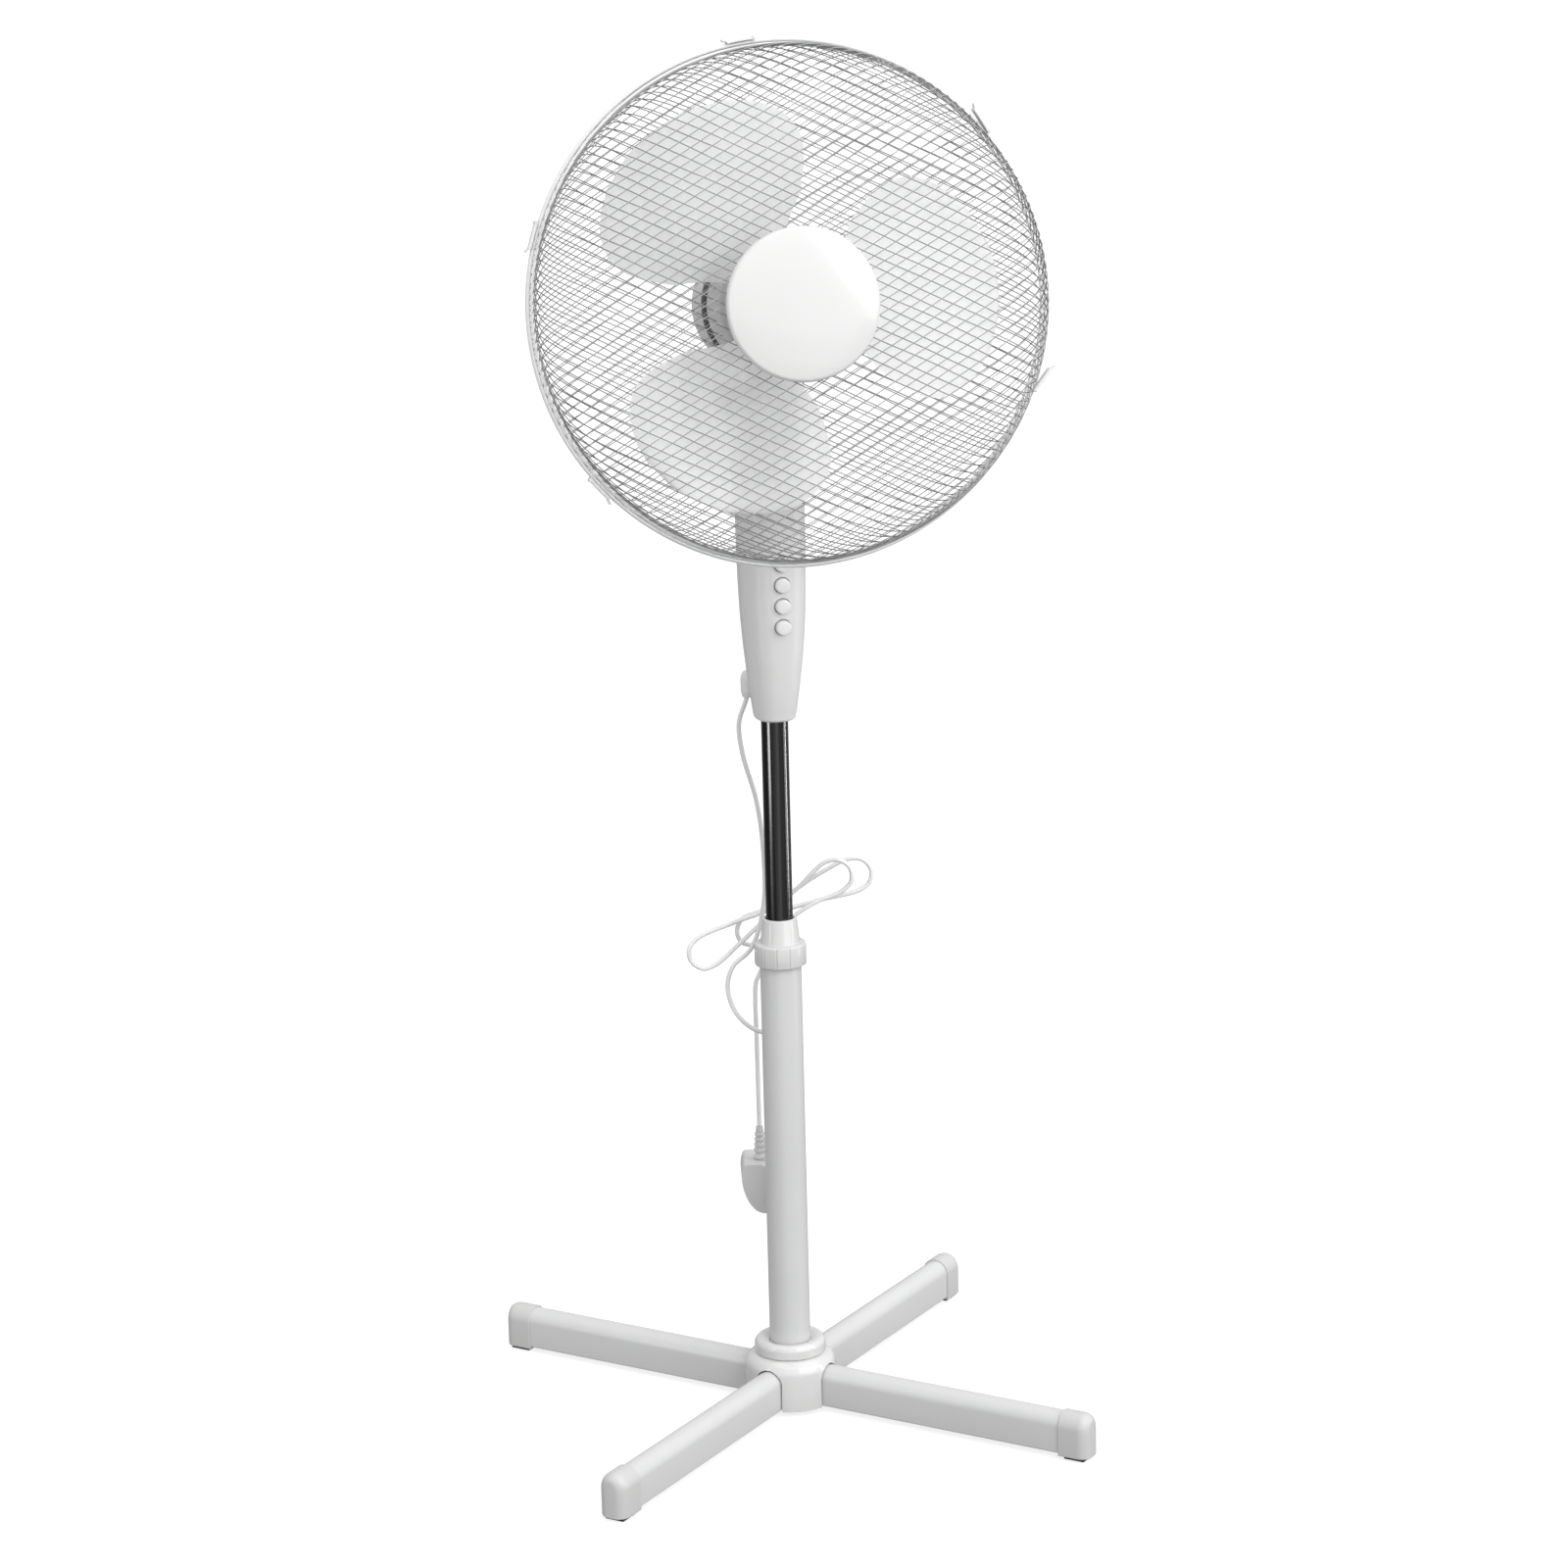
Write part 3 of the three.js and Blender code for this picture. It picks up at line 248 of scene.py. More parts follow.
WARM = (1, 0.999, 0.995)
COOL = (0.996, 0.999, 1)
MATERIALS = {
    "white_paint": finish(
        "white_paint", grey(0.53, COOL), grey(0.56, COOL), (0.28, 0.31), 6, 900, 0.00003,
        Coat_Weight=0.25, Coat_Roughness=0.2,
    ),
    # The guard rings' white paint, lighter than the same paint on the legs and post: painted light that
    # lifts the rings' shaded faces.
    "ring_white_painted_light": finish(
        "ring_white_painted_light", grey(0.79, COOL), grey(0.83, COOL), (0.3, 0.34), 6, 900, 0.00002,
        Coat_Weight=0.25, Coat_Roughness=0.2,
    ),
    # The guard wires are white. Both wire finishes are painted dark grey as painted shade, and the
    # second is a lighter painted shade for the family that rises to the right.
    "shade_painted_wire": finish(
        "shade_painted_wire", grey(0.12, COOL), grey(0.18, COOL), (0.3, 0.38), 40, 1500, 0.00001,
        Coat_Weight=0.3, Coat_Roughness=0.15,
    ),
    "lighter_shade_painted_wire": finish(
        "lighter_shade_painted_wire", grey(0.3, COOL), grey(0.38, COOL), (0.3, 0.38), 40, 1500, 0.00001,
        Coat_Weight=0.3, Coat_Roughness=0.15,
    ),
    "white_plastic": finish(
        "white_plastic", grey(0.68, WARM), grey(0.71, WARM), (0.3, 0.33), 5, 1200, 0.00002,
    ),
    "cap_plastic": finish(
        "cap_plastic", grey(0.48, WARM), grey(0.51, WARM), (0.32, 0.36), 8, 1200, 0.00003,
    ),
    "gloss_plastic": finish(
        "gloss_plastic", grey(0.56, WARM), grey(0.59, WARM), (0.14, 0.16), 5, 800, 0.00001,
        Coat_Weight=0.4, Coat_Roughness=0.06,
    ),
    "badge_plastic": finish(
        "badge_plastic", grey(0.69, WARM), grey(0.72, WARM), (0.12, 0.14), 5, 800, 0.00001,
        Coat_Weight=0.4, Coat_Roughness=0.06,
    ),
    "button_plastic": finish(
        "button_plastic", grey(0.76, WARM), grey(0.8, WARM), (0.3, 0.34), 9, 1600, 0.00003,
    ),
    "frosted_plastic": finish(
        "frosted_plastic", grey(0.92, COOL), grey(0.95, COOL), (0.3, 0.34), 8, 1400, 0.00002,
        Transmission_Weight=0.45, IOR=1.2,
    ),
    # The chrome's base colour runs in vertical streaks: partly the drawn tube's grain, partly painted
    # reflection of bright and dark surroundings.
    "black_chrome": finish(
        "black_chrome", grey(0.008), grey(0.1), (0.12, 0.2), 75, 420, 0.000005, (1, 1, 0.004),
        Metallic=1.0,
    ),
    "dark_rubber": finish(
        "dark_rubber", grey(0.03), grey(0.05), (0.7, 0.85), 90, 1500, 0.00008,
    ),
    "bright_steel": finish(
        "bright_steel", grey(0.5), grey(0.62), (0.28, 0.42), 80, 1200, 0.00003,
        Metallic=1.0,
    ),
    "dark_iron": finish(
        "dark_iron", grey(0.1), grey(0.17), (0.45, 0.6), 60, 700, 0.0001,
        Metallic=0.7,
    ),
    # The motor front's iron, darker than the dark iron: partly the iron's own tone, partly painted
    # shade for the hollow between the blades and the motor.
    "dark_motor_painted_shade": finish(
        "dark_motor_painted_shade", grey(0.035), grey(0.06), (0.5, 0.62), 60, 700, 0.0001,
        Metallic=0.3,
    ),
    "black_plastic": finish(
        "black_plastic", grey(0.02), grey(0.03), (0.4, 0.5), 50, 1300, 0.00004,
    ),
    "brass": finish(
        "brass", (0.62, 0.45, 0.18), (0.72, 0.55, 0.25), (0.2, 0.32), 80, 900, 0.00002,
        Metallic=1.0,
    ),
    "cord_plastic": finish(
        "cord_plastic", grey(0.52), grey(0.57), (0.42, 0.48), 20, 1100, 0.00004,
    ),
    "lead_plastic": finish(
        "lead_plastic", grey(0.72), grey(0.78), (0.36, 0.42), 20, 1100, 0.00003,
    ),
    # Near black for the plug pins: the black sleeves of the live and neutral pins, and painted shade
    # over the brass.
    "pin_sleeve_and_painted_shade": finish(
        "pin_sleeve_and_painted_shade", grey(0.025), grey(0.04), (0.35, 0.45), 60, 1300, 0.00003,
    ),
}


def dress_cad():
    slots = {row["node"]: row["material_slot"] for row in frame["record"]["subparts"]}
    for name, item in frame["nodes"].items():
        # The plug pins take the near-black finish instead of their brass slot: their sleeves and
        # painted shade.
        chosen = MATERIALS["pin_sleeve_and_painted_shade" if name.startswith("plug_pin") else slots[name]]
        if item.material_slots:
            for entry in item.material_slots:
                entry.material = chosen
        else:
            item.data.materials.append(chosen)


# ---------- Mesh building, in millimetres ----------
def mesh_of(vertices, faces):
    mesh = bpy.data.meshes.new("shape")
    mesh.from_pydata([tuple(v) for v in vertices], [], [tuple(f) for f in faces])
    mesh.validate()
    shape = bmesh.new()
    shape.from_mesh(mesh)
    bmesh.ops.remove_doubles(shape, verts=shape.verts, dist=1e-4)
    bmesh.ops.recalc_face_normals(shape, faces=shape.faces)
    shape.to_mesh(mesh)
    shape.free()
    return mesh


# Rounds each corner given as (x, y, radius) and leaves the (x, y) ones sharp.
def rounded(corners, steps=6, closed=False):
    points = []
    count = len(corners)
    for i, corner in enumerate(corners):
        here = Vector(corner[:2])
        if len(corner) < 3 or (not closed and i in (0, count - 1)):
            points.append(here)
            continue
        before = Vector(corners[i - 1][:2]) - here
        after = Vector(corners[(i + 1) % count][:2]) - here
        reach = min(corner[2], 0.49 * before.length, 0.49 * after.length)
        start = here + before.normalized() * reach
        stop = here + after.normalized() * reach
        for k in range(steps + 1):
            s = k / steps
            points.append(start * (1 - s) ** 2 + here * 2 * s * (1 - s) + stop * s * s)
    return points


def turned(corners, segments=SEGMENTS, closed=False, steps=6):
    profile = rounded(corners, steps, closed)
    vertices = []
    faces = []
    for point in profile:
        for k in range(segments):
            angle = 2 * math.pi * k / segments
            vertices.append((point.x * math.cos(angle), point.x * math.sin(angle), point.y))
    rows = len(profile)
    for i in range(rows if closed else rows - 1):
        for k in range(segments):
            a = i * segments + k
            b = i * segments + (k + 1) % segments
            c = ((i + 1) % rows) * segments + (k + 1) % segments
            d = ((i + 1) % rows) * segments + k
            faces.append((a, b, c, d))
    return mesh_of(vertices, faces)


def lofted(rings, caps=True):
    count = len(rings[0])
    vertices = [point for ring in rings for point in ring]
    faces = []
    for i in range(len(rings) - 1):
        for k in range(count):
            a = i * count + k
            b = i * count + (k + 1) % count
            faces.append((a, b, b + count, a + count))
    if caps:
        faces.append(tuple(range(count))[::-1])
        last = (len(rings) - 1) * count
        faces.append(tuple(last + k for k in range(count)))
    return mesh_of(vertices, faces)


def extruded(outline, low, high, steps=6):
    points = rounded(outline, steps, closed=True)
    return lofted([[(p.x, p.y, z) for p in points] for z in (low, high)])


def block(low, high):
    (x0, y0, z0), (x1, y1, z1) = low, high
    return extruded([(x0, y0), (x1, y0), (x1, y1), (x0, y1)], z0, z1)


def rod(radius, low, high, segments=64):
    return turned([(0, low), (radius, low), (radius, high), (0, high)], segments)


def moved(mesh, matrix):
    mesh.transform(matrix)
    if matrix.determinant() < 0:
        mesh.flip_normals()
    return mesh


def turn(axis, degrees):
    return Matrix.Rotation(math.radians(degrees), 4, axis)


def shift(x=0, y=0, z=0):
    return Matrix.Translation((x, y, z))


# Joins meshes into one. With materials, each mesh has its own.
def merged(*meshes, materials=()):
    shape = bmesh.new()
    counts = []
    for mesh in meshes:
        shape.from_mesh(mesh)
        counts.append(len(mesh.polygons))
    out = bpy.data.meshes.new("shape")
    shape.to_mesh(out)
    shape.free()
    if materials:
        kinds = list(dict.fromkeys(materials))
        for kind in kinds:
            out.materials.append(MATERIALS[kind])
        index = [kinds.index(kind) for kind, count in zip(materials, counts) for _ in range(count)]
        out.polygons.foreach_set("material_index", index)
    return out


def with_modifiers(mesh, *settings):
    item = bpy.data.objects.new("working", mesh)
    bpy.context.collection.objects.link(item)
    for kind, values in settings:
        modifier = item.modifiers.new(kind, kind)
        for key, value in values.items():
            setattr(modifier, key, value)
    graph = bpy.context.evaluated_depsgraph_get()
    result = bpy.data.meshes.new_from_object(item.evaluated_get(graph))
    bpy.data.objects.remove(item)
    return result


def combined(mesh, others, operation):
    for other in others:
        tool = bpy.data.objects.new("tool", other)
        bpy.context.collection.objects.link(tool)
        values = {"operation": operation, "solver": "EXACT", "object": tool}
        mesh = with_modifiers(mesh, ("BOOLEAN", values))
        bpy.data.objects.remove(tool)
    return mesh


def cut(mesh, *others):
    return combined(mesh, others, "DIFFERENCE")


def fused(mesh, *others):
    return combined(mesh, others, "UNION")


def eased(mesh, width, segments=2, angle=40):
    return with_modifiers(mesh, ("BEVEL", {
        "width": width,
        "segments": segments,
        "limit_method": "ANGLE",
        "angle_limit": math.radians(angle),
        "harden_normals": False,
    }))


# ---------- Pieces ----------
# Takes a mesh in millimetres to its place, and says what it rides, what it's made of and replaces.
def piece(name, mesh, place, body, slot, stands_for=(), material=None, smooth=32):
    scaled = place @ Matrix.Scale(MM, 4)
    mesh.transform(scaled)
    mesh.name = name
    if not mesh.materials:
        mesh.materials.append(MATERIALS[material or slot])
    mesh.polygons.foreach_set("use_smooth", [True] * len(mesh.polygons))
    mesh.set_sharp_from_angle(angle=math.radians(smooth))
    item = bpy.data.objects.new(name, mesh)
    bpy.context.collection.objects.link(item)
    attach(item, body)
    if stands_for:
        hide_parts(*stands_for)
    return item


# ---------- Mains lead ----------
CORD_RADIUS = 2.1
CORD_ROUTE = [
    (-0.02, 0.024, 0.672),
    (-0.021, 0.024, 0.656),
    (-0.028, 0.028, 0.632),
    (-0.025, 0.031, 0.602),
    (-0.014, 0.032, 0.56),
    (-0.009, 0.031, 0.515),
    (-0.01, 0.031, 0.462),
    (-0.022, 0.031, 0.423),
    (-0.039, 0.033, 0.406),
    (-0.044, 0.035, 0.386),
    (-0.037, 0.034, 0.362),
    (-0.021, 0.033, 0.346),
    (-0.004, 0.033, 0.342),
    (0.008, 0.034, 0.35),
    (0.011, 0.035, 0.365),
    (0.009, 0.036, 0.395),
    (0.008, 0.037, 0.425),
    (0.016, 0.036, 0.446),
    (0.036, 0.032, 0.461),
    (0.0617, 0.029, 0.4719),
    (0.0698, 0.028, 0.4811),
    (0.0684, 0.028, 0.4932),
    (0.0584, 0.03, 0.5002),
    (0.0465, 0.034, 0.4975),
    (0.022, 0.043, 0.472),
    (-0.002, 0.05, 0.453),
    (-0.034, 0.052, 0.442),
    (-0.0675, 0.051, 0.4298),
    (-0.0758, 0.05, 0.4206),
    (-0.0743, 0.05, 0.4083),
    (-0.064, 0.049, 0.4013),
    (-0.052, 0.049, 0.4045),
    (-0.03, 0.046, 0.424),
    (-0.001, 0.044, 0.448),
    (0.04, 0.043, 0.46),
    (0.0791, 0.042, 0.4679),
    (0.0884, 0.042, 0.4749),
    (0.09, 0.042, 0.4865),
    (0.0828, 0.043, 0.4956),
    (0.0712, 0.045, 0.4969),
    (0.04, 0.05, 0.481),
    (-0.002, 0.057, 0.452),
    (-0.026, 0.059, 0.443),
    (-0.031, 0.0595, 0.431),
    (-0.027, 0.059, 0.421),
    (-0.015, 0.058, 0.416),
    (-0.008, 0.0565, 0.408),
    (-0.01, 0.055, 0.396),
    (-0.0155, 0.054, 0.384),
    (-0.0168, 0.053, 0.368),
    (-0.0166, 0.0525, 0.335),
    (-0.0164, 0.053, 0.29),
    (-0.0162, 0.053, 0.2478),
]


# A centripetal Catmull-Rom curve through the points.
def smooth_route(points, per_span=10):
    points = [Vector(p) for p in points]
    ends = [points[0] * 2 - points[1], *points, points[-1] * 2 - points[-2]]
    route = []
    for p0, p1, p2, p3 in zip(ends, ends[1:], ends[2:], ends[3:]):
        t0 = 0.0
        t1 = t0 + (p1 - p0).length ** 0.5
        t2 = t1 + (p2 - p1).length ** 0.5
        t3 = t2 + (p3 - p2).length ** 0.5
        for k in range(per_span):
            t = t1 + (t2 - t1) * k / per_span
            a1 = p0 * ((t1 - t) / (t1 - t0)) + p1 * ((t - t0) / (t1 - t0))
            a2 = p1 * ((t2 - t) / (t2 - t1)) + p2 * ((t - t1) / (t2 - t1))
            a3 = p2 * ((t3 - t) / (t3 - t2)) + p3 * ((t - t2) / (t3 - t2))
            b1 = a1 * ((t2 - t) / (t2 - t0)) + a2 * ((t - t0) / (t2 - t0))
            b2 = a2 * ((t3 - t) / (t3 - t1)) + a3 * ((t - t1) / (t3 - t1))
            route.append(b1 * ((t2 - t) / (t2 - t1)) + b2 * ((t - t1) / (t2 - t1)))
    route.append(points[-1])
    return route


def build_cord():
    route = smooth_route(CORD_ROUTE)
    data = bpy.data.curves.new("mains_lead", "CURVE")
    data.dimensions = "3D"
    data.bevel_depth = CORD_RADIUS * MM
    data.bevel_resolution = 5
    data.use_fill_caps = True
    spline = data.splines.new("POLY")
    spline.points.add(len(route) - 1)
    for entry, point in zip(spline.points, route):
        entry.co = (*point, 1)
    spline.use_smooth = True
    data.materials.append(MATERIALS["lead_plastic"])
    lead = bpy.data.objects.new("mains_lead", data)
    bpy.context.collection.objects.link(lead)
    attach(lead, "column")
    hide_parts("power_cord")
    relief = build_strain_relief()
    plug = build_plug()
    tie = build_tie()


def build_strain_relief():
    low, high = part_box("plug_strain_relief")
    place = shift((low[0] + high[0]) / 2, (low[1] + high[1]) / 2, low[2])
    profile = [(0, 0), (6, 0, 0.8), (6, 3.2, 0.8), (4.4, 4, 0.5), (4.4, 6.6, 0.5)]
    radius = 5.6
    height = 7.2
    while height < 24:
        profile += [(radius, height, 0.6), (radius, height + 2.4, 0.6)]
        profile += [(radius - 1.4, height + 2.9, 0.3), (radius - 1.4, height + 4.4, 0.3)]
        height += 5
        radius -= 0.35
    profile += [(3.6, 26, 0.5), (3.1, 31, 0.4), (0, 31)]
    mesh = turned(profile, 48)
    return piece("lead_strain_relief", mesh, place, "column", "cord_plastic", ["plug_strain_relief"])


def build_plug():
    half_wide = 23
    half_tall = 30
    side = [
        (-12, 24, 3), (-15, 14, 6), (-14, 2, 6), (-9, -12, 6), (-1, -21, 5),
        (7, -23, 2), (9, -20, 1), (9, 20, 1), (4, 24, 2),
    ]
    across = [(half_tall * math.cos(a), half_wide * math.copysign(abs(math.sin(a)) ** 0.7, math.sin(a)))
              for a in np.linspace(0, 2 * math.pi, 48, endpoint=False)]
    slab = moved(extruded(side, -half_wide, half_wide), turn("X", 90))
    body = combined(extruded(across, -half_tall, half_tall), [slab], "INTERSECT")
    body = eased(body, 1.6, 3, 35)
    place = shift(-0.019, 0.057, 0.192) @ turn("Z", -6)
    return piece("plug_shell", body, place, "column", "cord_plastic", ["plug_body"])


def build_tie():
    low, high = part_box("cord_tie")
    half_y = (high[1] - low[1]) / 2 / MM
    half_z = (high[2] - low[2]) / 2 / MM
    centre = [(a + b) / 2 for a, b in zip(low, high)]

    def band(inset, corner):
        y, z = half_y - inset, half_z - inset
        return rounded([(-y, -z, corner), (y, -z, corner), (y, z, corner), (-y, z, corner)], 8, True)

    outer = band(0, 6)
    inner = band(1.2, 5)
    edge = 2.5
    rings = []
    for outline, x in ((inner, -edge), (outer, -edge), (outer, edge), (inner, edge), (inner, -edge)):
        rings.append([(x, p.x, p.y) for p in outline])
    mesh = eased(lofted(rings, caps=False), 0.4)
    return piece("lead_tie", mesh, Matrix.Translation(centre), "column", "black_plastic", ["cord_tie"])


# ---------- Cross base ----------
LEG_HALF = 12
LEG_FLOOR = 5
LEG_TOP = 41
LEG_END = 300
CAP_START = 279
CAP_END = 307
LEG_TURN = 45


def leg_outline(grow=0.0, count=24, foot=2.0):
    half = LEG_HALF + grow
    spring = LEG_TOP - LEG_HALF
    corners = rounded([(-half, spring), (-half, LEG_FLOOR - grow, foot), (half, LEG_FLOOR - grow, foot),
                       (half, spring)], 5)
    arc = [Vector((half * math.cos(a), spring + half * math.sin(a)))
           for a in np.linspace(0, math.pi, count + 1)[1:-1]]
    return corners + arc


def leg_bar(grow, low, high, foot=2.0):
    outline = leg_outline(grow, foot=foot)
    return lofted([[(x, p.x, p.y) for p in outline] for x in (low, high)])


def build_legs():
    middle = (LEG_FLOOR + LEG_TOP) / 2
    notch = LEG_HALF + 0.3
    lower = cut(leg_bar(0, -LEG_END, LEG_END), block((-notch, -30, middle), (notch, 30, 60)))
    upper = cut(leg_bar(0, -LEG_END, LEG_END), block((-notch, -30, -10), (notch, 30, middle + 0.3)))
    for name, mesh, angle in (("lower", lower, -LEG_TURN), ("upper", upper, LEG_TURN)):
        piece(f"leg_tube_{name}", mesh, STAND @ turn("Z", angle), "base", "white_paint",
              [f"cross_leg_{name}"])


# An end cap: straight, then rounded off in plan and over its top edge.
def foot_cap():
    wall = 1.7
    nose = 10
    straight = CAP_END - nose
    stations = [(CAP_START, 0.5), (CAP_START + 0.5, 0), (straight, 0)]
    for k in range(1, 13):
        angle = math.pi / 2 * k / 12
        stations.append((straight + nose * math.sin(angle), nose * (1 - math.cos(angle))))
    base = leg_outline(wall, foot=1.5)
    low = LEG_FLOOR - wall
    top = LEG_TOP + wall
    rings = []
    for x, inset in stations:
        narrow = (LEG_HALF + wall - inset * 0.98) / (LEG_HALF + wall)
        lower = (top - low - inset * 0.75) / (top - low)
        rings.append([(x, p.x * narrow, low + (p.y - low) * lower) for p in base])
    return lofted(rings)


def build_feet():
    for i in range(4):
        place = STAND @ turn("Z", 90 * i - LEG_TURN)
        piece(f"end_cap_{i + 1}", foot_cap(), place, "base", "white_plastic", [f"foot_cap_{i + 1}"],
              "cap_plastic")


def build_hub():
    shell = turned([
        (40, 4.4, 0.3), (42, 4.4, 0.5), (41.4, 40, 5), (38.6, 45.6, 3), (34, 48.6, 2.5),
        (30.4, 50, 0.4), (18.9, 50, 0.3), (18.9, 48, 0.3), (33, 47, 2), (39.3, 38, 4),
    ], closed=True)
    arch = leg_bar(1.3, -80, 80)
    arches = [moved(arch.copy(), turn("Z", angle)) for angle in (-LEG_TURN, LEG_TURN)]
    shell = eased(cut(shell, *arches), 0.35, 2, 50)
    piece("hub_cover", shell, STAND, "base", "white_plastic", ["base_hub"], "gloss_plastic")
    collar = turned([
        (18.8, 50.3), (32.4, 50.3, 0.8), (32.4, 59, 3.5), (29.4, 62.8, 2), (24, 62.6, 3),
        (19.6, 60.6, 0.8), (18.8, 60.4),
    ], closed=True)
    piece("trim_collar", collar, STAND, "base", "white_plastic", ["hub_collar"], "gloss_plastic")


# ---------- Post ----------
def pipe(radius, wall, low, high):
    bore = radius - wall
    return turned([(bore, low), (radius, low, 0.3), (radius, high, 0.3), (bore, high)], closed=True)


def build_post():
    outer = pipe(18.5, 1.2, 45, 426)
    piece("post_outer_tube", outer, STAND, "base", "white_paint", ["outer_tube"])
    inner = pipe(12, 1, 300, 866)
    piece("post_inner_tube", inner, STAND, "column", "black_chrome", ["inner_tube"])


# The nut's grip has flat facets with a groove between each pair, and its upper half is a plain cone.
def build_lock_nut():
    facets = 12
    per_facet = 24
    groove_width = 1.6
    radius = 23.4

    def ring(size, z, relief):
        points = []
        for k in range(facets * per_facet):
            angle = 2 * math.pi * k / (facets * per_facet)
            across = (k % per_facet) / per_facet - 0.5
            flat = math.cos(math.pi / facets) / math.cos(2 * math.pi / facets * across)
            groove = 0.9 * max(0.0, 1 - abs(abs(across) - 0.5) * per_facet / groove_width)
            r = size * (1 + relief * (flat - 1) * 0.55) - relief * groove
            points.append((r * math.cos(angle), r * math.sin(angle), z))
        return points

    rings = [
        ring(19.3, 416.2, 0), ring(radius - 1.5, 416, 0.6), ring(radius - 0.5, 416.5, 0.9),
        ring(radius, 417.6, 1), ring(radius, 434.4, 1), ring(radius - 0.4, 435.5, 0.9),
        ring(radius - 1.6, 436.2, 0.5), ring(19.2, 436.4, 0), ring(18, 436.7, 0), ring(17.6, 437.8, 0),
        ring(15.5, 457.6, 0), ring(15.1, 458.6, 0), ring(14.5, 459, 0), ring(13, 459, 0),
        ring(12.6, 458.5, 0), ring(12.6, 456, 0), ring(14, 455, 0), ring(16, 441, 0),
        ring(16.8, 430, 0), ring(19.3, 429, 0), ring(19.3, 416.2, 0),
    ]
    piece("height_nut", lofted(rings, caps=False), STAND @ turn("Z", 7), "lock_nut", "white_plastic",
          ["height_lock_nut"], "gloss_plastic", smooth=38)


# ---------- Control column ----------
# Height, half width, depth in front of and behind the post's axis.
COLUMN = [
    (645, 18.2, 22, 18.6), (658, 19.8, 26, 20.5), (678, 22.2, 30.6, 23.4), (699, 24.4, 34.5, 26),
    (719, 26, 37, 28.6), (739, 27.2, 38.6, 30.5), (780, 28.4, 39.5, 32.5), (810, 28.7, 39.3, 32.7),
    (840, 28.6, 38.5, 32.5), (862, 28.2, 37, 31.9), (880, 27.6, 35, 31), (894, 26.6, 32.6, 29.4),
]
COLUMN_FOOT = 641.2
COLUMN_HEAD = 898
COLUMN_SQUARENESS = 2.6
COLUMN_WALL = 1.8


def column_row(z, half, front, back, squareness, start, stop, count):
    row = []
    for k in range(count + 1):
        angle = start + (stop - start) * k / count
        c, s = math.cos(angle), math.sin(angle)
        x = math.copysign(abs(c) ** (2 / squareness), c) * half
        y = math.copysign(abs(s) ** (2 / squareness), s) * (front if s < 0 else back)
        row.append((x, y, z))
    return row


# From the bore at the foot, over its rounded edge, up the side, and over the head's edge to its bore.
def column_rows(start, stop, count=48):
    rows = []

    def add(z, sizes, squareness, inset=0.0):
        rows.append(column_row(z, *[size - inset for size in sizes], squareness, start, stop, count))

    low, high = COLUMN[0], COLUMN[-1]
    steps = 6
    add(COLUMN_FOOT, [12.6] * 3, 2)
    for step in range(steps + 1):
        angle = math.pi / 2 * step / steps
        add(COLUMN_FOOT + 3.8 * (1 - math.cos(angle)), low[1:], 2.4, 3.6 * (1 - math.sin(angle)))
    heights = [row[0] for row in COLUMN]
    table = np.array(COLUMN)
    for z in np.linspace(low[0], high[0], 60)[1:]:
        add(z, [smooth_value(heights, table[:, k], z) for k in (1, 2, 3)], COLUMN_SQUARENESS)
    for step in range(1, steps + 1):
        angle = math.pi / 2 * step / steps
        add(high[0] + 4 * math.sin(angle), high[1:], 2.5, 4 * (1 - math.cos(angle)))
    add(COLUMN_HEAD, [17.8] * 3, 2)
    return rows


# A smooth curve through the table's values.
def smooth_value(places, values, at):
    i = max(0, min(len(places) - 2, int(np.searchsorted(places, at)) - 1))
    span = places[i + 1] - places[i]
    t = (at - places[i]) / span

    def slope(k):
        a, b = max(0, k - 1), min(len(places) - 1, k + 1)
        return (values[b] - values[a]) / (places[b] - places[a])

    h = [2 * t**3 - 3 * t**2 + 1, t**3 - 2 * t**2 + t, -2 * t**3 + 3 * t**2, t**3 - t**2]
    ends = h[0] * values[i] + h[2] * values[i + 1]
    return ends + h[1] * span * slope(i) + h[3] * span * slope(i + 1)


def column_shell(start, stop):
    rows = column_rows(start, stop)
    count = len(rows[0])
    vertices = [point for row in rows for point in row]
    faces = []
    for i in range(len(rows) - 1):
        for k in range(count - 1):
            a = i * count + k
            faces.append((a, a + 1, a + 1 + count, a + count))
    mesh = mesh_of(vertices, faces)
    middle = mesh.polygons[len(mesh.polygons) // 2]
    if middle.normal.dot(middle.center * Vector((1, 1, 0))) < 0:
        mesh.flip_normals()
    return with_modifiers(mesh, ("SOLIDIFY", {"thickness": COLUMN_WALL, "offset": -1}))


BUTTON_COUNT = 4
BUTTON_RADIUS = 6.6


def button_height(i):
    low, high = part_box(f"speed_button_{i}")
    return (low[2] + high[2]) / 2 / MM


